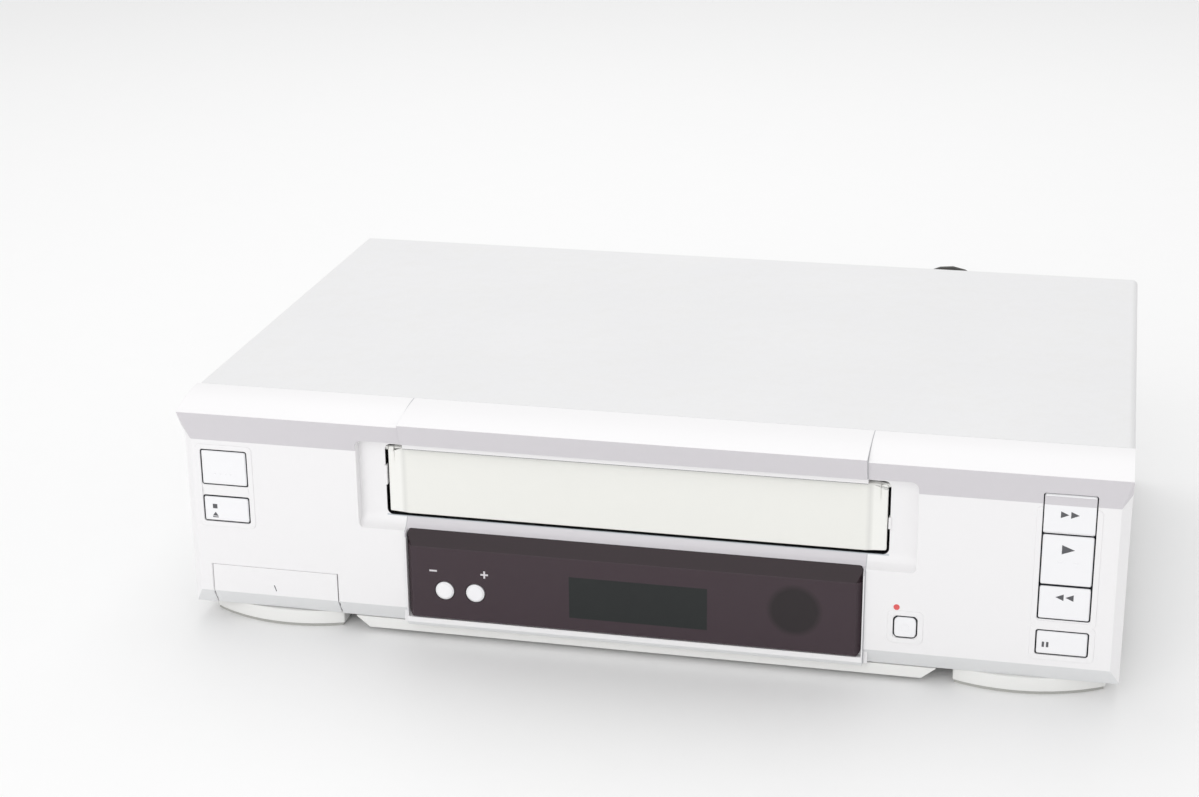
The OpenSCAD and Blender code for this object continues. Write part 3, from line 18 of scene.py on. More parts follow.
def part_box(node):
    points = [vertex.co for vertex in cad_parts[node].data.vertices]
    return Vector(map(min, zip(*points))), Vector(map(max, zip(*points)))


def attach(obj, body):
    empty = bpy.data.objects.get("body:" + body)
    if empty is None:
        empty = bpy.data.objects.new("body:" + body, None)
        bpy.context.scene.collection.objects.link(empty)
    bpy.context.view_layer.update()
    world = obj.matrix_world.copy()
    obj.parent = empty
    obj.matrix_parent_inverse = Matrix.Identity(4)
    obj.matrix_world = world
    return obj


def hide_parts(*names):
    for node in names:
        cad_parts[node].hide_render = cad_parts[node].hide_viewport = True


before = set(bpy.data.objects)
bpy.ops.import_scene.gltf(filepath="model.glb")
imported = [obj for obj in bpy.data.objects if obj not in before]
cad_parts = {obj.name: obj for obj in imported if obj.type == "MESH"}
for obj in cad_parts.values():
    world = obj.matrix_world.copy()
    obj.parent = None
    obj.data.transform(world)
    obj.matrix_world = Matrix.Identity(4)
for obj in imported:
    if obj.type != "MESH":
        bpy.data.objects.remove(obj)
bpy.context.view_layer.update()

MM = 0.001
FACE_Y = -115.7
LOG = logging.getLogger("recorder")

Colour = tuple[float, float, float]
Span = tuple[float, float]
Outline = Sequence[tuple[float, float]]


def place_of(x: float, depth: float, z: float) -> Vector:
    """Turns part coordinates in millimetres into a point of the frame in metres."""
    return Vector((x, depth + FACE_Y, z)) * MM


def shade(r: float, g: float, b: float) -> Colour:
    """Turns a display colour from 0 to 255 into the linear colour of a shader."""
    def linear(v: float) -> float:
        v /= 255
        return v / 12.92 if v <= 0.04045 else ((v + 0.055) / 1.055) ** 2.4

    return linear(r), linear(g), linear(b)


# Millimetres: the deck's middle, two half widths, and planes past front and rear.
DECK_X = -2.2
CENTRE_HALF = 88.5
POCKET_HALF = 96.6
AHEAD = -140.0
BEHIND = 200.0
# Mesh work: doubles in metres, angles in degrees, and the y of a normal.
DOUBLE = 2e-6
FLAT_ANGLE = 0.4
ROUNDED_ANGLE = 17.6
BACKWARD = 0.3
# What the finishes paint over their grain: real tones, and painted shade and painted
# highlight where marked.
# Silver tone of the band and of the strip over the window; on the band it is also
# painted shade where the band faces down.
SILVER_AND_SHADE_TONE = shade(211, 208, 212)
# Dark unpainted plastic of the button holes' walls and the caps' sides, darkened
# further as painted shadow in the gaps.
GAP_WALL_AND_SHADOW = shade(50, 54, 64)
# The slot's mouth walls: dark plastic with painted shadow deep in the slot.
SLOT_WALL_AND_SHADOW = shade(34, 34, 36)
# Painted shadow, a cool grey, on the lip under the flap.
LIP_PAINTED_SHADOW = shade(186, 193, 198)
# Painted shade of the narrow seams between the centre moulding and its neighbours.
SEAM_PAINTED_SHADE = shade(186, 187, 190)
# Painted shade on the chin's faces low on the front that face down.
CHIN_PAINTED_SHADE = shade(225, 226, 227)
DUST_SHADE = shade(214, 212, 206)
TUBE_SHADE = shade(36, 39, 39)
# Painted shade on the window's top slope, darker than the smoked face.
SLOPE_PAINTED_SHADE = shade(34, 16, 24)
RECEIVER_SHADE = shade(34, 32, 32)
RECEIVER = (60.7, 27.7, 9.6)
# Painted highlight on the flap's turned ends, and painted shade along their creases.
FLAP_END_HIGHLIGHT = shade(243, 243, 239)
CREASE_PAINTED_SHADE = shade(224, 224, 220)


# ---- node trees ----


class Bench:
    """Adds nodes to one tree and links them."""

    def __init__(self, tree: bpy.types.NodeTree) -> None:
        self.tree = tree

    def add(self, kind: str, sockets: dict | None = None, **settings) -> bpy.types.Node:
        """Adds one node.

        Args:
            kind: The node's Blender type.
            sockets: A value, or an output socket to link, for each input name or index.
            settings: The node's own properties.

        Returns:
            The new node.
        """
        node = self.tree.nodes.new(kind)
        for key, value in settings.items():
            setattr(node, key, value)
        for key, value in (sockets or {}).items():
            if isinstance(value, bpy.types.NodeSocket):
                self.tree.links.new(value, node.inputs[key])
            else:
                node.inputs[key].default_value = value
        return node

    def socket(self, name: str, kind: str, output: bool = False):
        """Adds a named socket to the tree's own interface and returns it."""
        return self.tree.interface.new_socket(
            name=name, in_out="OUTPUT" if output else "INPUT",
            socket_type=f"NodeSocket{kind}")

    def maths(self, operation: str, *terms, clamp: bool = False):
        """Adds a Math node and returns its value socket."""
        return self.add("ShaderNodeMath", dict(enumerate(terms)),
                        operation=operation, use_clamp=clamp).outputs[0]

    def product(self, first, *others):
        """Multiplies sockets and numbers and returns the value socket."""
        for other in others:
            first = self.maths("MULTIPLY", first, other)
        return first

    def between(self, value, low: float, high: float, soft: float):
        """Returns a socket that is 1 where value lies between two limits."""
        return self.product(*(
            self.maths("MULTIPLY_ADD", value, sign / soft, 0.5 - sign * end / soft,
                       clamp=True) for sign, end in ((1, low), (-1, high))))

    def mix(self, share, first, second):
        """Mixes two colours by a share and returns the colour socket."""
        first, second = (c if isinstance(c, bpy.types.NodeSocket) else (*c, 1.0)
                         for c in (first, second))
        return self.add("ShaderNodeMix", {0: share, 6: first, 7: second},
                        data_type="RGBA").outputs[2]

    def upward(self, normal: str = "True Normal"):
        """Returns a socket with the share of a face's normal that points up."""
        facing = self.add("ShaderNodeNewGeometry").outputs[normal]
        return self.add("ShaderNodeSeparateXYZ", {0: facing}).outputs[2]


class EffectGroups:
    """The shader effects that several finishes share, each built once."""

    def __init__(self) -> None:
        self.grain = self._grain()
        self.settled_dust = self._settled_dust()

    def _grain(self) -> bpy.types.ShaderNodeTree:
        """A fine grain over slow clouds, for moulded, painted and brushed faces."""
        tree = bpy.data.node_groups.new("surface_grain", "ShaderNodeTree")
        bench = Bench(tree)
        bench.socket("Vector", "Vector")
        bench.socket("Grain", "Float")
        bench.socket("Clouds", "Float")
        bench.socket("Contrast", "Float")
        bench.socket("Shade", "Float", output=True)
        bench.socket("Height", "Float", output=True)
        given = bench.add("NodeGroupInput").outputs
        fine = bench.add("ShaderNodeTexNoise", {
            "Vector": given["Vector"], "Scale": given["Grain"], "Detail": 3.0,
            "Roughness": 0.6})
        slow = bench.add("ShaderNodeTexNoise", {
            "Vector": given["Vector"], "Scale": given["Clouds"], "Detail": 4.0,
            "Roughness": 0.55})
        centred = bench.maths("SUBTRACT", fine.outputs[0], 0.5)
        drift = bench.maths("SUBTRACT", slow.outputs[0], 0.5)
        scaled = bench.product(bench.maths("ADD", centred, drift), given["Contrast"])
        shade_out = bench.maths("ADD", scaled, 0.5, clamp=True)
        bench.add("NodeGroupOutput", {"Shade": shade_out, "Height": fine.outputs[0]})
        return tree

    def _settled_dust(self) -> bpy.types.ShaderNodeTree:
        """Dust that lies thin and patchy on the faces that look up."""
        tree = bpy.data.node_groups.new("settled_dust", "ShaderNodeTree")
        bench = Bench(tree)
        bench.socket("Vector", "Vector")
        bench.socket("Amount", "Float")
        bench.socket("Mask", "Float", output=True)
        given = bench.add("NodeGroupInput").outputs
        upward = bench.maths("MAXIMUM", bench.upward("Normal"), 0.0)
        lying = bench.maths("POWER", upward, 3.0)
        patches = bench.add("ShaderNodeTexNoise", {
            "Vector": given["Vector"], "Scale": 55.0, "Detail": 6.0,
            "Roughness": 0.7}).outputs[0]
        spread = bench.maths("SUBTRACT", patches, 0.42, clamp=True)
        bench.add("NodeGroupOutput", {
            "Mask": bench.product(spread, lying, given["Amount"])})
        return tree


class Pattern(Enum):
    """How a surface's grain lies, as the stretch of its coordinates."""

    EVEN = (1.0, 1.0, 1.0)
    DRAWN_ALONG_X = (0.03, 1.0, 1.0)
    DRAWN_ALONG_Y = (1.0, 0.03, 1.0)
    TURNED = (1.0, 1.0, 0.04)


class Extra(Enum):
    """What a finish paints on top of its grain."""

    NONE = 0
    FRONT_PAINT_AND_SHADE = 1
    CAP_PAINT_AND_SHADE = 2
    DISPLAY_PANEL = 3
    FLAP_CREASES = 4
    DUST = 5


@dataclass(frozen=True)
class Finish:
    """One surface finish and the procedural material made from it."""

    name: str
    colour: Colour
    roughness: float
    metallic: float = 0.0
    pattern: Pattern = Pattern.EVEN
    grain: float = 2500.0
    clouds: float = 30.0
    contrast: float = 0.5
    tint: float = 0.06
    rough_spread: float = 0.06
    relief: float = 0.05
    coat: float = 0.0
    coat_roughness: float = 0.1
    sheen: float = 0.0
    specular: float = 0.5
    extra: Extra = Extra.NONE

    def material(self, effects: EffectGroups) -> bpy.types.Material:
        """Builds the finish's material."""
        made = bpy.data.materials.new(f"{self.name}_finish")
        made.use_nodes = True
        made.node_tree.nodes.clear()
        bench = Bench(made.node_tree)
        spot = bench.add("ShaderNodeTexCoord").outputs["Object"]
        lay = bench.add("ShaderNodeMapping", {
            "Vector": spot, "Scale": self.pattern.value}).outputs[0]
        grain = bench.add("ShaderNodeGroup", {
            "Vector": lay, "Grain": self.grain, "Clouds": self.clouds,
            "Contrast": self.contrast}, node_tree=effects.grain)
        dark = tuple(c * (1 - self.tint) for c in self.colour)
        light = tuple(min(1.0, c * (1 + self.tint)) for c in self.colour)
        colour = bench.mix(grain.outputs["Shade"], dark, light)
        rough = bench.add("ShaderNodeMapRange", {
            0: grain.outputs["Shade"],
            3: max(0.02, self.roughness - self.rough_spread),
            4: min(1.0, self.roughness + self.rough_spread)}).outputs[0]
        colour, rough = self._dressed(bench, effects, spot, colour, rough)
        bump = bench.add("ShaderNodeBump", {
            "Height": grain.outputs["Height"], "Strength": 0.35,
            "Distance": self.relief * MM})
        shader = bench.add("ShaderNodeBsdfPrincipled", {
            "Base Color": colour, "Roughness": rough, "Metallic": self.metallic,
            "Coat Weight": self.coat, "Coat Roughness": self.coat_roughness,
            "Sheen Weight": self.sheen, "Specular IOR Level": self.specular,
            "Normal": bump.outputs[0]})
        bench.add("ShaderNodeOutputMaterial", {"Surface": shader.outputs[0]})
        return made

    def _dressed(self, bench: Bench, effects: EffectGroups, spot, colour, rough):
        """Paints the finish's extra over its colour and roughness."""
        if self.extra is Extra.NONE:
            return colour, rough
        if self.extra is Extra.DUST:
            mask = bench.add("ShaderNodeGroup", {"Vector": spot, "Amount": 0.5},
                             node_tree=effects.settled_dust).outputs["Mask"]
            colour = bench.mix(mask, colour, DUST_SHADE)
            return colour, bench.maths("ADD", rough, mask, clamp=True)
        axes = bench.add("ShaderNodeSeparateXYZ", {0: spot}).outputs
        if self.extra is Extra.DISPLAY_PANEL:
            return self._panelled(bench, axes, colour), rough
        if self.extra is Extra.FLAP_CREASES:
            return self._creased(bench, axes, colour), rough
        colour = self._banded(bench, axes, colour)
        if self.extra is Extra.CAP_PAINT_AND_SHADE:
            # The caps' sides behind the front: dark plastic with painted shadow, for
            # the dark gaps round the caps.
            sides = bench.between(axes[1], (FACE_Y - 0.05) * MM, 1.0, 0.1 * MM)
            return bench.mix(sides, colour, GAP_WALL_AND_SHADOW), rough
        return self._welled(bench, axes, colour), rough

    @staticmethod
    def _painted(bench: Bench, axes, colour, tone: Colour, x: Span, z: Span, y: Span,
                 soft: float = 0.2):
        """Paints a tone inside a box given in millimetres of the frame."""
        parts = [bench.between(axes[i], low * MM, high * MM, soft * MM)
                 for i, (low, high) in ((0, x), (2, z), (1, y))]
        return bench.mix(bench.product(*parts), colour, tone)

    def _welled(self, bench: Bench, axes, colour):
        """Paints the silver strip over the window, painted shadow on the lip under the
        flap, painted shade under the chin and along the centre's seams, and dark walls
        with painted shadow in the deep gaps.
        """
        centre = (DECK_X - CENTRE_HALF, DECK_X + CENTRE_HALF)
        pocket = (DECK_X - POCKET_HALF, DECK_X + POCKET_HALF)
        # The strip over the window takes the silver tone; the lip under the flap takes
        # painted shadow.
        for tone, x, z, depth, soft in (
                (SILVER_AND_SHADE_TONE, centre, (44, 50.75), 4.3, 0.2),
                (LIP_PAINTED_SHADOW, pocket, (50.6, 51.2), 6, 0.4)):
            colour = self._painted(bench, axes, colour, tone, x, z,
                                   (AHEAD, FACE_Y + depth), soft)
        # Painted shade on faces low on the front that face down.
        chin = bench.product(bench.between(axes[2], -1.0, 16 * MM, 2 * MM),
                             bench.between(bench.upward(), -0.97, -0.06, 0.05))
        colour = bench.mix(chin, colour, CHIN_PAINTED_SHADE)
        # Thin lines of painted shade where the centre moulding meets the side
        # mouldings.
        for x in (centre[0] - 0.12, centre[1] + 0.12):
            colour = self._painted(bench, axes, colour, SEAM_PAINTED_SHADE,
                                   (x - 0.16, x + 0.16), (6, 95),
                                   (AHEAD, FACE_Y + 30), 0.12)
        # Walls of the button holes and of the slot's mouth: dark plastic darkened as
        # painted shadow in these deep gaps.
        for tone, x, z, depth in (
                (GAP_WALL_AND_SHADOW, (146, 171), (14, 86), 0.35),
                (GAP_WALL_AND_SHADOW, (-176, -150), (40, 78), 0.35),
                (GAP_WALL_AND_SHADOW, (95, 108), (18, 31), 0.35),
                (SLOT_WALL_AND_SHADOW, (-101, 97), (50, 80.6), 4.4)):
            colour = self._painted(bench, axes, colour, tone, x, z,
                                   (FACE_Y + depth, BEHIND))
        return colour

    def _creased(self, bench: Bench, axes, colour):
        """Paints shade into the soft creases near the flap's ends, and a painted
        highlight on the turned ends.
        """
        across = bench.maths("ABSOLUTE", bench.maths("SUBTRACT", axes[0], DECK_X * MM))
        ends = bench.between(across, 89.5 * MM, 1.0, 2.5 * MM)
        colour = bench.mix(ends, colour, FLAP_END_HIGHLIGHT)
        crease = bench.between(across, 88.4 * MM, 89.8 * MM, 1.6 * MM)
        return bench.mix(crease, colour, CREASE_PAINTED_SHADE)

    def _banded(self, bench: Bench, axes, colour):
        """Darkens the overhanging band along the top of the front where it faces down:
        silver tone with painted shade.
        """
        high = bench.between(axes[2], 77.6 * MM, 92.0 * MM, 0.1 * MM)
        ahead = bench.between(axes[1], AHEAD * MM, (FACE_Y - 0.02) * MM, 0.05 * MM)
        leaning = bench.between(bench.upward(), -0.6, -0.12, 0.1)
        return bench.mix(bench.product(high, ahead, leaning), colour, SILVER_AND_SHADE_TONE)

    def _panelled(self, bench: Bench, axes, colour):
        """Shows the display and the receiver dimly behind the smoked window, and paints
        shade on the window's top slope.
        """
        ahead = bench.between(axes[1], AHEAD * MM, (FACE_Y + 0.1) * MM, 0.2 * MM)
        wide = bench.between(axes[0], -25.7 * MM, 27.7 * MM, 0.4 * MM)
        tall = bench.between(axes[2], 16.5 * MM, 33.5 * MM, 0.4 * MM)
        colour = bench.mix(bench.product(wide, tall, ahead), colour, TUBE_SHADE)
        # Painted shade on the window's top slope.
        slope = bench.between(axes[2], 41.0 * MM, 60 * MM, 0.3 * MM)
        colour = bench.mix(slope, colour, SLOPE_PAINTED_SHADE)
        eye_x, eye_z, eye_radius = RECEIVER
        across = bench.maths("SUBTRACT", axes[0], eye_x * MM)
        above = bench.maths("SUBTRACT", axes[2], eye_z * MM)
        reach = bench.maths("SQRT", bench.maths(
            "ADD", bench.product(across, across), bench.product(above, above)))
        eye = bench.product(bench.between(reach, -1.0, eye_radius * MM, 2.6 * MM),
                            ahead, 0.75)
        return bench.mix(eye, colour, RECEIVER_SHADE)


class Palette:
    """Every finish of the recorder, by the record's slot or its own name."""

    def __init__(self) -> None:
        self.effects = EffectGroups()
        self.made: dict[str, bpy.types.Material] = {}
        self.finishes = {f.name: f for f in (
            Finish("cover", shade(231, 231, 232), 0.42, 0.12, grain=3800, clouds=14,
                   contrast=0.6, tint=0.035, relief=0.03, extra=Extra.DUST),
            Finish("screws", shade(176, 174, 170), 0.3, 1.0, grain=900, tint=0.1),
            Finish("front", shade(240, 239, 240), 0.4, grain=4200, clouds=18, tint=0.02,
                   relief=0.03, coat=0.12, coat_roughness=0.25,
                   extra=Extra.FRONT_PAINT_AND_SHADE),
            Finish("pan", shade(236, 236, 234), 0.5, grain=1800, clouds=20, tint=0.03,
                   relief=0.06),
            Finish("pads", shade(176, 176, 172), 0.85, grain=1600, tint=0.12,
                   relief=0.12),
            Finish("back_panel", shade(196, 197, 198), 0.38, 0.85,
                   Pattern.DRAWN_ALONG_X, 900, 40, 0.8, 0.1, 0.1),
            Finish("window", shade(63, 51, 57), 0.22, grain=120, clouds=12,
                   contrast=0.3, tint=0.04, rough_spread=0.02, relief=0.0,
                   specular=0.28, extra=Extra.DISPLAY_PANEL),
            Finish("tube", shade(70, 78, 78), 0.12, grain=1500, tint=0.1, relief=0.01),
            Finish("black_moulding", shade(34, 32, 33), 0.5, grain=1700, tint=0.2,
                   relief=0.08),
            Finish("front_circuit", shade(122, 92, 54), 0.55, grain=700, clouds=90,
                   tint=0.16),
            Finish("grey_moulding", shade(120, 121, 124), 0.55, grain=1700, tint=0.1,
                   relief=0.08),
            Finish("gilt", shade(214, 174, 92), 0.22, 1.0, grain=900, tint=0.08),
            Finish("plated_steel", shade(190, 190, 192), 0.34, 1.0,
                   Pattern.DRAWN_ALONG_Y, 1100, 30, 0.8, 0.12, 0.1, 0.03),
            Finish("socket_metal", shade(206, 206, 208), 0.2, 1.0, Pattern.TURNED,
                   2600, 60, 0.6, 0.08),
            Finish("circuit", shade(84, 104, 62), 0.5, grain=600, clouds=120,
                   contrast=0.8, tint=0.2),
            Finish("brown_circuit", shade(140, 104, 58), 0.55, grain=600, clouds=90,
                   tint=0.18),
            Finish("dark_parts", shade(52, 52, 56), 0.45, 0.3, grain=900, tint=0.2),
            Finish("bush_rubber", shade(40, 39, 38), 0.62, grain=1500, tint=0.15,
                   relief=0.08),
            Finish("cord", shade(52, 50, 46), 0.5, grain=1300, clouds=60, tint=0.15,
                   relief=0.06, sheen=0.1),
            Finish("plug", shade(48, 46, 43), 0.55, grain=1500, tint=0.14,
                   relief=0.09),
            Finish("drum", shade(206, 207, 209), 0.2, 1.0, Pattern.TURNED, 2200, 60,
                   0.7, 0.08),
            Finish("bearing", shade(190, 156, 92), 0.3, 1.0, grain=1200, tint=0.1),
            Finish("heads", shade(196, 196, 198), 0.16, 1.0, grain=1800, tint=0.05),
            Finish("guide_steel", shade(208, 208, 210), 0.14, 1.0, Pattern.TURNED,
                   3000, 60, 0.5, 0.05),
            Finish("belt", shade(36, 35, 34), 0.7, grain=1600, tint=0.2, relief=0.1),
            Finish("flap", shade(237, 237, 232), 0.46, grain=3000, clouds=16, tint=0.02,
                   relief=0.03, coat=0.06, extra=Extra.FLAP_CREASES),
            Finish("plain_front", shade(240, 239, 240), 0.4, grain=4200, clouds=18,
                   tint=0.02, relief=0.03),
            Finish("caps", shade(243, 243, 245), 0.38, grain=4200, clouds=24,
                   contrast=0.4, tint=0.02, relief=0.02, coat=0.12,
                   coat_roughness=0.25, extra=Extra.CAP_PAINT_AND_SHADE),
            Finish("white_gear", shade(232, 231, 224), 0.42, grain=1500, tint=0.05),
            Finish("dark_print", shade(86, 86, 90), 0.5, grain=2600, tint=0.12,
                   relief=0.01),
            Finish("pale_print", shade(214, 210, 214), 0.5, grain=2600, tint=0.06,
                   relief=0.01),
            Finish("red_print", shade(222, 92, 92), 0.5, grain=2600, tint=0.08,
                   relief=0.01),
            Finish("white_insulator", shade(230, 230, 226), 0.4, grain=1500, tint=0.06),
            Finish("yellow_insulator", shade(226, 190, 54), 0.4, grain=1500, tint=0.08),
            Finish("floor", shade(246, 246, 246), 0.55, grain=60, clouds=3, tint=0.01,
                   relief=0.0),
        )}

    def of(self, name: str) -> bpy.types.Material:
        """Returns the material of a finish by its name, built on its first use."""
        if name not in self.made:
            self.made[name] = self.finishes[name].material(self.effects)
        return self.made[name]


# ---- meshes ----


def made_plain(piece: bpy.types.Object) -> bpy.types.Object:
    """Turns a piece's modifiers into its plain mesh."""
    bpy.context.view_layer.update()
    graph = bpy.context.evaluated_depsgraph_get()
    plain = bpy.data.meshes.new_from_object(
        piece.evaluated_get(graph), preserve_all_data_layers=True, depsgraph=graph)
    piece.modifiers.clear()
    piece.data = plain
    return piece


def settle(piece: bpy.types.Object, angle: float = 50.0) -> bpy.types.Object:
    """Applies a piece's modifiers, and shades it smooth up to an angle.

    Args:
        piece: The piece, with its modifiers.
        angle: The angle in degrees past which an edge stays sharp.

    Returns:
        The piece, with a plain mesh whose flat faces stay flat.
    """
    if piece.modifiers:
        made_plain(piece)
    mesh = piece.data
    mesh.polygons.foreach_set("use_smooth", [True] * len(mesh.polygons))
    mesh.set_sharp_from_angle(angle=math.radians(angle))
    even = piece.modifiers.new("normals", "WEIGHTED_NORMAL")
    even.keep_sharp = True
    even.weight = 100
    return made_plain(piece)


def linked(name: str, data: bpy.types.ID) -> bpy.types.Object:
    """Links a new object with its data to the scene."""
    piece = bpy.data.objects.new(name, data)
    bpy.context.scene.collection.objects.link(piece)
    return piece


def piece_from(work: bmesh.types.BMesh, name: str) -> bpy.types.Object:
    """Turns a worked mesh into a linked object of the same name."""
    mesh = bpy.data.meshes.new(name)
    work.to_mesh(mesh)
    work.free()
    return linked(name, mesh)


def merge_flat(mesh: bpy.types.Mesh) -> None:
    """Joins a mesh's flat faces, except those that are narrow or look back.

    Rounding can turn a narrow ring inside out, so it keeps small faces.

    Args:
        mesh: The mesh, without doubles.
    """
    work = bmesh.new()
    work.from_mesh(mesh)
    bmesh.ops.dissolve_limit(work, angle_limit=math.radians(FLAT_ANGLE),
                             verts=work.verts, edges=work.edges)
    work.normal_update()
    split = [face for face in work.faces if len(face.verts) > 4
             and (face.normal.y > BACKWARD
                  or face.calc_area() < MM * face.calc_perimeter())]
    bmesh.ops.triangulate(work, faces=split)
    work.to_mesh(mesh)
    work.free()


def merged_copy(node: str, name: str) -> bpy.types.Object:
    """Copies a CAD node's mesh, joins its loose triangles and its flat faces."""
    work = bmesh.new()
    work.from_mesh(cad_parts[node].data)
    bmesh.ops.remove_doubles(work, verts=work.verts, dist=DOUBLE)
    piece = piece_from(work, name)
    merge_flat(piece.data)
    return piece


def rounded(piece: bpy.types.Object, node: str, radius: float,
            angle: float = ROUNDED_ANGLE) -> bpy.types.Object:
    """Rounds a piece's sharp edges, and keeps it inside its CAD node's box.

    Args:
        piece: A merged copy of the node.
        node: The CAD node.
        radius: The rounding's width in millimetres.
        angle: The least angle in degrees of an edge that is rounded.

    Returns:
        The piece.
    """
    bevel = piece.modifiers.new("edges", "BEVEL")
    bevel.width = radius * MM
    bevel.segments = 2
    bevel.limit_method = "ANGLE"
    bevel.angle_limit = math.radians(angle)
    bevel.use_clamp_overlap = False
    bevel.miter_outer = "MITER_ARC"
    made_plain(piece)
    low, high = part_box(node)
    for vertex in piece.data.vertices:
        vertex.co = [min(max(c, a), b) for c, a, b in zip(vertex.co, low, high)]
    return settle(piece)


def plates(name: str, front: float, back: float,
           *outlines: Outline) -> bpy.types.Object:
    """Makes one piece of thin upright plates from outlines of (x, z) points.

    Args:
        name: The new piece's name.
        front: The depth of the front faces.
        back: The depth of the back faces.
        outlines: Each plate's corners in millimetres, in order.

    Returns:
        The new piece.
    """
    work = bmesh.new()
    for outline in outlines:
        rings = [[work.verts.new(place_of(x, depth, z)) for x, z in outline]
                 for depth in (front, back)]
        work.faces.new(rings[0])
        work.faces.new(reversed(rings[1]))
        for i in range(len(outline)):
            j = (i + 1) % len(outline)
            work.faces.new((rings[0][j], rings[0][i], rings[1][i], rings[1][j]))
    bmesh.ops.recalc_face_normals(work, faces=work.faces)
    return settle(piece_from(work, name))


def turned(profile: Sequence[tuple[float, float]], centre: tuple[float, float],
           name: str, steps: int = 48) -> bpy.types.Object:
    """Turns a closed profile about an axis that runs front to back.

    Args:
        profile: Closed (depth, radius) points in millimetres.
        centre: The axis as (x, z).
        name: The new piece's name.
        steps: The number of steps round the axis.

    Returns:
        The new piece.
    """
    work = bmesh.new()
    rings = []
    for k in range(steps):
        a = 2 * math.pi * k / steps
        rings.append([work.verts.new(place_of(
            centre[0] + r * math.cos(a), d,
            centre[1] + r * math.sin(a))) for d, r in profile])
    for k in range(steps):
        a, b = rings[k], rings[(k + 1) % steps]
        for i in range(len(profile)):
            j = (i + 1) % len(profile)
            work.faces.new((a[i], a[j], b[j], b[i]))
    bmesh.ops.remove_doubles(work, verts=work.verts, dist=1e-7)
    bmesh.ops.recalc_face_normals(work, faces=work.faces)
    return settle(piece_from(work, name), 40)


def circle(x: float, z: float, r: float, steps: int = 32) -> list[tuple[float, float]]:
    """Returns a circle's points."""
    return [(x + r * math.cos(2 * math.pi * k / steps),
             z + r * math.sin(2 * math.pi * k / steps)) for k in range(steps)]


def rectangle(x0: float, x1: float, z0: float, z1: float) -> list[tuple[float, float]]:
    """Returns a rectangle's corners."""
    return [(x0, z0), (x1, z0), (x1, z1), (x0, z1)]


# ---- Geometry Nodes ----


class RepeatTree:
    """A Geometry Nodes tree that sets one shape at each of some points."""

    def __init__(self) -> None:
        self.tree = bpy.data.node_groups.new("set_at_points", "GeometryNodeTree")
        bench = Bench(self.tree)
        bench.socket("Geometry", "Geometry")
        self.shape = bench.socket("Shape", "Object")
        self.finish = bench.socket("Finish", "Material")
        bench.socket("Geometry", "Geometry", output=True)
        given = bench.add("NodeGroupInput").outputs
        shape = bench.add("GeometryNodeObjectInfo", {"Object": given["Shape"]})
        points = bench.add("GeometryNodeInstanceOnPoints", {
            "Points": given["Geometry"], "Instance": shape.outputs["Geometry"]})
        real = bench.add("GeometryNodeRealizeInstances", {0: points.outputs[0]})
        done = bench.add("GeometryNodeSetMaterial", {
            "Geometry": real.outputs[0], "Material": given["Finish"]})
        bench.add("NodeGroupOutput", {0: done.outputs[0]})

    def run(self, name: str, points: Iterable[Vector], shape: bpy.types.Object,
            finish: bpy.types.Material) -> bpy.types.Object:
        """Sets a shape at each point and returns one plain piece.

        Args:
            name: The new piece's name.
            points: The places in metres.
            shape: The shape's object, which is removed afterwards.
            finish: The material.

        Returns:
            The new piece.
        """
        mesh = bpy.data.meshes.new(name)
        mesh.from_pydata([tuple(p) for p in points], [], [])
        piece = linked(name, mesh)
        maker = piece.modifiers.new("repeat", "NODES")
        maker.node_group = self.tree
        maker[self.shape.identifier] = shape
        maker[self.finish.identifier] = finish
        settle(piece, 40)
        bpy.data.objects.remove(shape)
        return piece


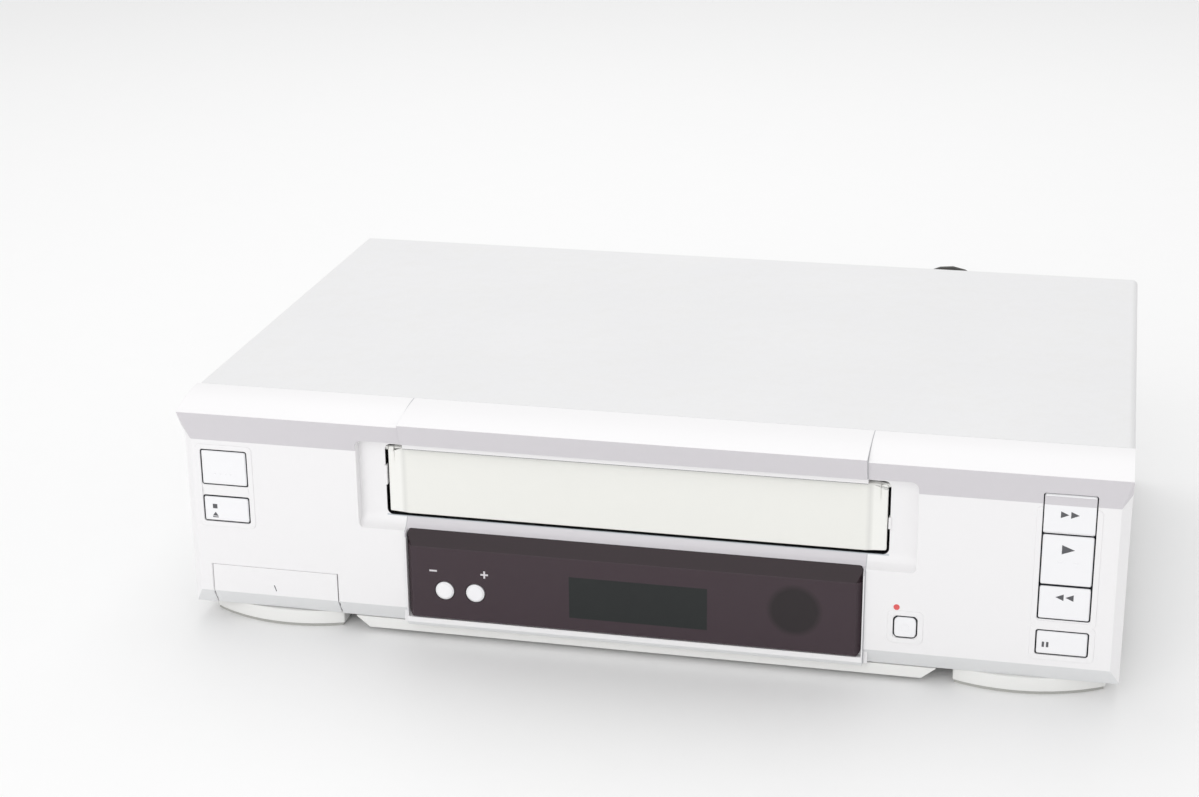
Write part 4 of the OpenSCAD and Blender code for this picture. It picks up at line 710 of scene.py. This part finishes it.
class RingTree:
    """A Geometry Nodes tree that stacks rings along an axis, as a thread's are."""

    def __init__(self) -> None:
        self.tree = bpy.data.node_groups.new("stacked_rings", "GeometryNodeTree")
        bench = Bench(self.tree)
        bench.socket("Geometry", "Geometry")
        self.count = bench.socket("Count", "Int")
        self.pitch = bench.socket("Pitch", "Float")
        self.radius = bench.socket("Radius", "Float")
        self.thick = bench.socket("Thickness", "Float")
        self.start = bench.socket("Start", "Vector")
        self.finish = bench.socket("Finish", "Material")
        bench.socket("Geometry", "Geometry", output=True)
        given = bench.add("NodeGroupInput").outputs
        step = bench.add("ShaderNodeCombineXYZ", {2: given["Pitch"]})
        line = bench.add("GeometryNodeMeshLine", {
            "Count": given["Count"], "Start Location": (0, 0, 0),
            "Offset": step.outputs[0]})
        ring = bench.add("GeometryNodeCurvePrimitiveCircle", {
            "Radius": 1.0, "Resolution": 40})
        placed = bench.add("GeometryNodeInstanceOnPoints", {
            "Points": line.outputs[0], "Instance": ring.outputs[0],
            "Scale": given["Radius"]})
        real = bench.add("GeometryNodeRealizeInstances", {0: placed.outputs[0]})
        bar = bench.add("GeometryNodeCurvePrimitiveCircle", {
            "Radius": given["Thickness"], "Resolution": 8})
        tube = bench.add("GeometryNodeCurveToMesh", {
            "Curve": real.outputs[0], "Profile Curve": bar.outputs[0]})
        moved = bench.add("GeometryNodeTransform", {
            "Geometry": tube.outputs[0], "Translation": given["Start"],
            "Rotation": (-math.pi / 2, 0.0, 0.0)})
        done = bench.add("GeometryNodeSetMaterial", {
            "Geometry": moved.outputs[0], "Material": given["Finish"]})
        bench.add("NodeGroupOutput", {0: done.outputs[0]})

    def run(self, name: str, start: Vector, finish: bpy.types.Material, count: int,
            pitch: float, radius: float, thickness: float) -> bpy.types.Object:
        """Stacks rings from a start towards the rear and returns one plain piece.

        Args:
            name: The new piece's name.
            start: The first ring's centre in metres.
            finish: The material.
            count: The number of rings.
            pitch: Their distance in millimetres.
            radius: The rings' radius in millimetres.
            thickness: The bar's radius in millimetres.

        Returns:
            The new piece.
        """
        piece = linked(name, bpy.data.meshes.new(name))
        maker = piece.modifiers.new("rings", "NODES")
        maker.node_group = self.tree
        for socket, value in ((self.count, count), (self.pitch, pitch * MM),
                              (self.radius, radius * MM), (self.thick, thickness * MM),
                              (self.start, start), (self.finish, finish)):
            maker[socket.identifier] = value
        return settle(piece, 60)


# ---- what every sub-assembly shares ----


@dataclass
class Workshop:
    """Holds the palette and the trees, and puts each finished piece in place."""

    palette: Palette = field(default_factory=Palette)
    repeats: RepeatTree = field(default_factory=RepeatTree)
    rings: RingTree = field(default_factory=RingTree)

    def fit(self, piece: bpy.types.Object, body: str, finish: str,
            replaced: Sequence[str] = ()) -> bpy.types.Object:
        """Dresses a piece and lets it ride on its body.

        Args:
            piece: The piece, in place.
            body: The CAD body that it moves with.
            finish: The name of its finish.
            replaced: The CAD nodes that it stands for.

        Returns:
            The piece.
        """
        piece.data.materials.clear()
        piece.data.materials.append(self.palette.of(finish))
        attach(piece, body)
        if replaced:
            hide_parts(*replaced)
        LOG.info("%s rides on %s in %s", piece.name, body, finish)
        return piece

    def soften(self, node: str, body: str, slot: str, radius: float,
               name: str | None = None) -> bpy.types.Object:
        """Replaces a CAD node with its own shape, its edges rounded."""
        piece = merged_copy(node, name or f"{node}_moulding")
        return self.fit(rounded(piece, node, radius), body, slot, [node])

    def dress(self, finish: str, *nodes: str) -> None:
        """Gives CAD nodes that stay as they are a finish."""
        for node in nodes:
            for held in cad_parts[node].material_slots:
                held.material = self.palette.of(finish)
            LOG.info("%s stays in %s", node, finish)


# ---- sub-assemblies ----


@dataclass
class Studio:
    """The camera of the photograph, a pale floor and soft lights."""

    camera_at: Vector = field(default_factory=lambda: Vector((162.3, -871.8, 389.5)))
    focal: float = 67.4
    yaw: float = 13.08
    pitch: float = 20.07
    roll: float = -0.60

    def camera(self) -> None:
        """Sets the camera at the photograph's viewpoint."""
        lens = bpy.data.cameras.new("camera")
        lens.lens = self.focal
        lens.sensor_width = 36.0
        lens.clip_start = 0.01
        eye = linked("camera", lens)
        eye.location = self.camera_at * MM
        turn = (Matrix.Rotation(math.radians(self.yaw), 4, "Z")
                @ Matrix.Rotation(math.radians(90 - self.pitch), 4, "X")
                @ Matrix.Rotation(math.radians(self.roll), 4, "Z"))
        eye.rotation_euler = turn.to_euler()
        bpy.context.scene.camera = eye

    def floor(self, shop: Workshop) -> None:
        """Lays a plain pale floor."""
        work = bmesh.new()
        for x, y in ((-6, -4), (6, -4), (6, 9), (-6, 9)):
            work.verts.new((x, y, 0.0))
        work.faces.new(work.verts)
        floor = piece_from(work, "floor")
        floor.data.materials.append(shop.palette.of("floor"))

    def lights(self) -> None:
        """Lights the recorder softly from above, with a white room round it."""
        scene = bpy.context.scene
        scene.view_settings.view_transform = "Standard"
        world = bpy.data.worlds.new("room")
        world.use_nodes = True
        ground = world.node_tree.nodes["Background"]
        ground.inputs["Color"].default_value = (1.0, 1.0, 1.0, 1.0)
        ground.inputs["Strength"].default_value = 0.78
        scene.world = world
        self._lamp("top_light", (-0.15, 0.6, 1.35), (0.0, 0.0, 0.0), 1.3, 6.0)
        self._lamp("front_light", (-0.5, -1.9, 0.9), (0.0, 0.0, 0.05), 1.6, 11.0)

    @staticmethod
    def _lamp(name: str, at: Sequence[float], towards: Sequence[float], size: float,
              power: float) -> None:
        """Adds one square area light that looks at a point."""
        data = bpy.data.lights.new(name, "AREA")
        data.size = size
        data.energy = power
        lamp = linked(name, data)
        lamp.location = at
        aim = Vector(towards) - Vector(at)
        lamp.rotation_euler = aim.to_track_quat("-Z", "Y").to_euler()


@dataclass
class MainsLead:
    """The mains lead: its relief, the arc over the rear edge, the coil and plug."""

    diameter: float = 4.2
    length: float = 1.664
    exit: tuple[float, float, float] = (76.0, 132.7, 40.0)
    flange: float = 111.7
    run: Sequence[tuple[float, float, float]] = (
        (76, 132.7, 40), (76, 138.1, 40), (76, 143.4, 40.2), (76, 148.6, 41.7),
        (76, 153.1, 44.6), (76, 156.6, 48.7), (76, 158.8, 53.6), (76, 159.5, 58.9),
        (76.2, 159.5, 64.3), (77.7, 159.5, 69.4), (80.7, 159.5, 73.8),
        (84.9, 159.5, 77.2), (89.8, 159.5, 79.2), (95.2, 159.5, 79.7),
        (100.4, 159.5, 78.5), (105.1, 159.5, 75.9), (108.7, 159.5, 72),
        (111.1, 159.5, 67.2),
        *((112, 159.5, z) for z in (61.9, 56.6, 51.2, 45.8, 40.4, 35.1, 29.7, 24.3)),
        (112, 159.6, 19), (112, 161, 13.8), (112, 163.7, 9.2), (112, 167.6, 5.5),
        (112, 172.4, 3.1), (112, 177.7, 2.1), (112, 183.1, 2.1), (112, 188.4, 2.1),
        (112, 193.8, 2.1))
    coil_centre: tuple[float, float] = (83.0, 198.0)
    coil_radius: float = 29.0
    coil_turns: float = 9.5
    turn_points: int = 32
    layer_turns: float = 2.5
    narrow_turns: tuple[float, float] = (2.25, 7.25)
    pitch: float = 5.3
    tail: Sequence[tuple[float, float, float]] = (
        (0, -6.3, 0), (0, -12.6, -0.2), (0, -18.8, -1.2), (-1.2, -24.8, -2.7),
        (-4.1, -30.1, -4.5), (-8.3, -34.2, -6.5), (-13.6, -37, -8.5),
        (-19.6, -38, -10.2), (-25.7, -38, -11.6), (-32, -38, -12.3),
        (-38.3, -38, -12.4), (-44.6, -38, -12.4))
    coil_end: tuple[float, float, float] = (54.0, 198.0, 18.0)

    def route(self) -> list[Vector]:
        """Returns the whole route's points in metres."""
        points = list(self.run)
        steps = int(self.coil_turns * self.turn_points)
        for k in range(steps + 1):
            t = self.coil_turns * k / steps
            turns_out = min(abs(t - narrow) for narrow in self.narrow_turns)
            r = self.coil_radius + self.pitch * (turns_out - self.narrow_turns[0])
            layer = min(math.floor(t / self.layer_turns), 3)
            climb = max(0.0, 2 * (t - self.layer_turns * layer - 2))
            height = self.diameter / 2 + self.pitch * (layer + climb)
            a = 2 * math.pi * t
            points.append((self.coil_centre[0] + r * math.cos(a),
                           self.coil_centre[1] + r * math.sin(a), height))
        out = (self.coil_end[0], self.coil_end[1] - self.diameter, self.coil_end[2])
        points.append(out)
        points += [tuple(out[i] + step[i] for i in range(3)) for step in self.tail]
        return [Vector(p) * MM for p in points]

    def build(self, shop: Workshop) -> None:
        """Builds the cord, its relief and its plug."""
        line = bpy.data.curves.new("power_cord", "CURVE")
        line.dimensions = "3D"
        line.bevel_depth = self.diameter / 2 * MM
        line.bevel_resolution = 4
        line.use_fill_caps = True
        points = self.route()
        spline = line.splines.new("POLY")
        spline.points.add(len(points) - 1)
        for point, place in zip(spline.points, points):
            point.co = (*place, 1.0)
        spline.use_smooth = True
        cord = linked("power_cord", line)
        relief = self._relief(shop)
        plug = shop.soften("power_plug", "case", "plug", 0.5, name="plug_moulding")
        shop.fit(cord, "case", "cord",
                 ["power_cord_run", "power_cord_coil", "power_cord_tail"])

    def _relief(self, shop: Workshop) -> bpy.types.Object:
        """Makes the tapered strain relief with its ribs."""
        flange = self.flange
        profile = [(107.5, 0.0), (107.5, 6.6), (110.3, 6.6), (110.3, 5.4),
                   (flange, 5.4), (flange, 6.5), (flange + 1.4, 6.6),
                   (flange + 1.9, 6.2), (flange + 2.0, 4.9)]
        low, high = flange + 2.4, self.exit[1]
        for k in range(6):
            a = low + (high - low) * k / 6
            r = 4.6 - 1.9 * k / 6
            profile += [(a + 0.3, r), (a + 1.3, r - 0.1), (a + 1.5, r - 0.9),
                        (a + 2.4, r - 1.0)]
        profile += [(high, 2.6), (high, 0.0)]
        depths = [(d - FACE_Y, r) for d, r in profile]
        axis = (self.exit[0], self.exit[2])
        return shop.fit(turned(depths, axis, "cord_relief"), "case",
                        "bush_rubber", ["cord_bush"])


@dataclass
class Casing:
    """The steel cover, the bottom tray, its feet and the rear."""

    cover_edge: float = 0.25
    tray_edge: float = 0.3
    foot_edge: float = 0.5

    def build(self, shop: Workshop) -> None:
        """Dresses the case's outer parts."""
        shop.soften("top_cover", "case", "cover", self.cover_edge)
        shop.soften("bottom_pan", "case", "pan", self.tray_edge)
        shop.soften("feet", "case", "pan", self.foot_edge)
        shop.dress("pads", "foot_pads")
        shop.dress("back_panel", "rear_panel")
        shop.dress("screws", "case_screws")


@dataclass
class FrontMoulding:
    """The front moulding, the socket door and the printed marks on them."""

    edge: float = 0.15
    dot: tuple[float, float, float] = (98.3, 32.0, 1.15)
    door: tuple[float, float, float] = (-171.2, -119.2, 25.0)
    door_gap: float = 0.06
    rebate: float = 0.5
    tick: Outline = ((-145.9, 17.9), (-145.5, 18.0), (-144.75, 15.55),
                     (-145.05, 15.45))

    def build(self, shop: Workshop) -> None:
        """Dresses the front and prints its marks."""
        shop.soften("front_bezel", "case", "front", self.edge)
        shop.soften("jack_door", "jack_door", "front", self.edge)
        shop.fit(plates("record_dot", -0.05, 0.05, circle(*self.dot)), "case",
                 "red_print")
        shop.fit(plates("door_tick", -0.04, 0.05, self.tick), "jack_door", "dark_print")
        x0, x1, top = self.door
        near, far = self.door_gap, self.rebate
        shop.fit(plates("door_rebate", 0.3, 1.2,
                        rectangle(x0 - far, x0 - near, 13, top + near),
                        rectangle(x1 + near, x1 + far, 13, top + near),
                        rectangle(x0 - far, x1 + far, top + near, top + far)),
                 "case", "plain_front")


@dataclass
class DisplayWindow:
    """The smoked window with its printed signs, and what lies behind it."""

    edge: float = 0.2
    face: float = -1.9
    minus_at: tuple[float, float] = (-79.4, 31.3)
    plus_at: tuple[float, float] = (-59.0, 31.3)
    arm: float = 1.5
    line: float = 0.35

    def build(self, shop: Workshop) -> None:
        """Dresses the window and prints its signs."""
        shop.soften("display_window", "case", "window", self.edge)
        (x, z), a, t = self.plus_at, self.arm, self.line
        plus = [(x - a, z - t), (x - t, z - t), (x - t, z - a), (x + t, z - a),
                (x + t, z - t), (x + a, z - t), (x + a, z + t), (x + t, z + t),
                (x + t, z + a), (x - t, z + a), (x - t, z + t), (x - a, z + t)]
        x, z = self.minus_at
        minus = rectangle(x - a, x + a, z - t, z + t)
        shop.fit(plates("window_signs", self.face - 0.04, self.face + 0.05, minus,
                        plus), "case", "pale_print")
        shop.dress("tube", "display_tube")
        shop.dress("black_moulding", "remote_receiver", "push_switches")
        shop.dress("front_circuit", "front_board")


@dataclass
class CassetteDoor:
    """The ivory flap over the cassette slot, and what lies close round it."""

    edge: float = 0.35
    side_trim: tuple[float, float] = (0.45, 0.3)
    foot_trim: float = 0.7
    front_edge: float = -111.0
    end_slope: float = 0.128
    pin_length: float = 2.0
    lip: tuple[float, float, float, float] = (79.85, 82.6, 0.6, 2.4)
    # Height of the grey strip of painted shadow under the lip, in millimetres.
    shadow_strip: float = 0.25
    rib_depths: Span = (3.6, 6.0)
    left_rib: tuple[float, float, float, float] = (-99.4, -98.2, 63.3, 71.2)
    right_tab: tuple[float, float, float, float] = (93.85, 94.8, 61.4, 65.9)

    def build(self, shop: Workshop) -> None:
        """Builds the flap, the lip over it, a grey strip of painted shadow under the
        lip, and the ribs in its side gaps.
        """
        piece = merged_copy("cassette_door", "cassette_flap")
        low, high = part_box("cassette_door")
        pins = (self.pin_length - 0.1) * MM
        left = low.x + (self.pin_length + self.side_trim[0]) * MM
        right = high.x - (self.pin_length + self.side_trim[1]) * MM
        foot = low.z + self.foot_trim * MM
        for vertex in piece.data.vertices:
            x, y, z = vertex.co
            vertex.co.z = max(z, foot)
            if low.x + pins < x < high.x - pins:
                vertex.co.x = min(max(x, left), right)
                if y < self.front_edge * MM:
                    vertex.co.y -= abs(vertex.co.x - x) * self.end_slope
        shop.fit(rounded(piece, "cassette_door", self.edge, angle=30),
                 "cassette_door", "flap", ["cassette_door"])
        z0, z1, front, back = self.lip
        centre = (DECK_X - CENTRE_HALF, DECK_X + CENTRE_HALF)
        shop.fit(plates("flap_lip", front, back, rectangle(*centre, z0, z1)), "case",
                 "plain_front")
        # A thin grey strip along the lip's lower edge is painted shadow where the lip
        # overhangs the flap.
        shadow_strip = rectangle(*centre, z0 - self.shadow_strip, z0)
        shop.fit(plates("flap_seal", front + 0.1, back, shadow_strip), "case",
                 "grey_moulding")
        for name, span in (("left_slot_rib", self.left_rib),
                           ("right_slot_tab", self.right_tab)):
            shop.fit(plates(name, *self.rib_depths, rectangle(*span)), "case",
                     "plain_front")


@dataclass
class Keys:
    """The push buttons with their printed signs and raised dots."""

    edge: float = 0.2
    print_depth: float = 0.04
    dot_radius: float = 0.32

    def build(self, shop: Workshop) -> None:
        """Builds every button and its signs."""
        for name in ("power", "stop_eject", "fast_forward", "play", "rewind", "pause",
                     "record", "channel_down", "channel_up"):
            node = f"{name}_button"
            shop.soften(node, node, "caps", self.edge, name=f"{name}_cap")
        for name, outlines in self.signs().items():
            front = self.front_of(f"{name}_button" if name != "fast_forward"
                                  else "play_button")
            sign = plates(f"{name}_sign", front - self.print_depth, front + 0.05,
                          *outlines)
            shop.fit(sign, f"{name}_button", "dark_print")
        self._record_ring(shop)
        self._dots(shop, "power", (-167.15, -164.95, -162.85, -160.7), 63.85)
        self._dots(shop, "play", (155.5, 156.6, 161.2, 162.3), 55.5)

    @staticmethod
    def front_of(node: str) -> float:
        """Returns the depth of a button's front face."""
        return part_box(node)[0].y / MM - FACE_Y

    @staticmethod
    def signs() -> dict[str, list[Outline]]:
        """Returns the outlines of the signs on each button."""
        def arrow(base: float, tip: float, z: float, half: float) -> Outline:
            return [(base, z - half), (tip, z), (base, z + half)]

        return {
            "fast_forward": [arrow(155.35, 158.3, 74.05, 1.3),
                             arrow(158.95, 161.95, 74.1, 1.3)],
            "play": [arrow(156.5, 161.1, 60.5, 1.8)],
            "rewind": [arrow(158.2, 155.3, 41.7, 1.27),
                       arrow(161.75, 158.85, 41.7, 1.27)],
            "pause": [rectangle(151.5, 152.35, 21.4, 23.5),
                      rectangle(153.05, 153.9, 21.4, 23.5)],
            "stop_eject": [rectangle(-168.95, -167.1, 49.25, 51.1),
                           [(-169.2, 46.15), (-166.85, 46.15), (-168.0, 47.75)],
                           rectangle(-169.2, -166.85, 45.45, 45.85)],
        }

    def _record_ring(self, shop: Workshop) -> None:
        """Makes the raised ring on the record button."""
        front = self.front_of("record_button")
        profile = [(front + 0.1, 1.25), (front - 0.12, 1.3), (front - 0.12, 1.55),
                   (front + 0.1, 1.6)]
        shop.fit(turned(profile, (101.7, 23.9), "record_ring"), "record_button",
                 "caps")

    def _dots(self, shop: Workshop, name: str, across: Sequence[float],
              z: float) -> None:
        """Sets a row of raised dots on a button, to be felt in the dark."""
        front = self.front_of(f"{name}_button")
        work = bmesh.new()
        bmesh.ops.create_icosphere(work, subdivisions=2, radius=self.dot_radius * MM)
        row = shop.repeats.run(
            f"{name}_dots", [place_of(x, front + 0.08, z) for x in across],
            piece_from(work, f"{name}_dot_shape"), shop.palette.of("caps"))
        shop.fit(row, f"{name}_button", "caps")


@dataclass
class Sockets:
    """The front and rear sockets with their coloured insulators and threads."""

    insulator: tuple[float, float] = (1.7, 2.4)
    front_x: tuple[float, float] = (-154.2, -136.2)
    front_z: float = 17.6
    front_face: float = 6.4
    rear_x: tuple[float, ...] = (-50.0, -32.0, -14.0, 4.0)
    rear_z: float = 40.0
    rear_face: float = 236.7
    aerial: tuple[float, float, float] = (140.0, 62.0, 38.0)
    thread_start: float = 230.3
    threads: tuple[int, float, float, float] = (7, 0.85, 4.6, 0.36)

    def build(self, shop: Workshop) -> None:
        """Dresses the sockets, and adds their insulators and threads."""
        shop.dress("grey_moulding", "jack_panel")
        shop.dress("gilt", "front_jacks")
        shop.dress("socket_metal", "rear_jacks", "antenna_sockets")
        shop.dress("plated_steel", "tuner_can")
        colours = ("yellow_insulator", "white_insulator")
        for side, across, z, face, inward in (
                ("front", self.front_x, self.front_z, self.front_face, 1.0),
                ("rear", self.rear_x, self.rear_z, self.rear_face, -1.0)):
            for i, x in enumerate(across):
                self._insulator(shop, f"{side}_insulator_{i + 1}", (x, z), face,
                                inward, colours[i % 2])
        x, *heights = self.aerial
        for name, z in zip(("upper", "lower"), heights):
            thread = shop.rings.run(f"{name}_aerial_threads",
                                    place_of(x, self.thread_start, z),
                                    shop.palette.of("socket_metal"), *self.threads)
            shop.fit(thread, "case", "socket_metal")

    def _insulator(self, shop: Workshop, name: str, centre: tuple[float, float],
                   face: float, inward: float, finish: str) -> None:
        """Sets one coloured ring into the mouth of a socket."""
        inner, outer = self.insulator
        profile = [(face - 0.05 * inward, inner), (face - 0.05 * inward, outer - 0.15),
                   (face + 0.1 * inward, outer), (face + 0.6 * inward, outer),
                   (face + 0.6 * inward, inner)]
        shop.fit(turned(profile, centre, name, 32), "case", finish)


@dataclass
class Works:
    """The tape deck and the boards inside, which show through an open flap."""

    def build(self, shop: Workshop) -> None:
        """Dresses everything inside the case."""
        shop.dress("circuit", "main_board")
        shop.dress("brown_circuit", "power_board")
        shop.dress("dark_parts", "power_parts", "loading_motor")
        shop.dress("plated_steel", "deck_plate", "left_bracket", "right_bracket",
                   "tray_carriage", "cassette_tray", "idler_arm", "pinch_arm")
        shop.dress("drum", "lower_drum", "upper_drum")
        shop.dress("bearing", "capstan_housing")
        shop.dress("heads", "erase_head", "control_head")
        shop.dress("guide_steel", "guide_posts", "capstan_shaft", "supply_guide",
                   "takeup_guide")
        shop.dress("belt", "drive_belt", "idler_wheel", "pinch_roller")
        shop.dress("white_gear", "clutch_pulley", "supply_reel", "takeup_reel",
                   "cam_gear")


def main() -> None:
    """Builds the scene, the sub-assemblies in order."""
    logging.basicConfig(level=logging.INFO, format="%(name)s: %(message)s")
    shop = Workshop()
    studio = Studio()
    studio.camera()
    studio.floor(shop)
    studio.lights()
    for assembly in (MainsLead(), Casing(), FrontMoulding(), DisplayWindow(),
                     CassetteDoor(), Keys(), Sockets(), Works()):
        assembly.build(shop)


if __name__ == "__main__":
    main()
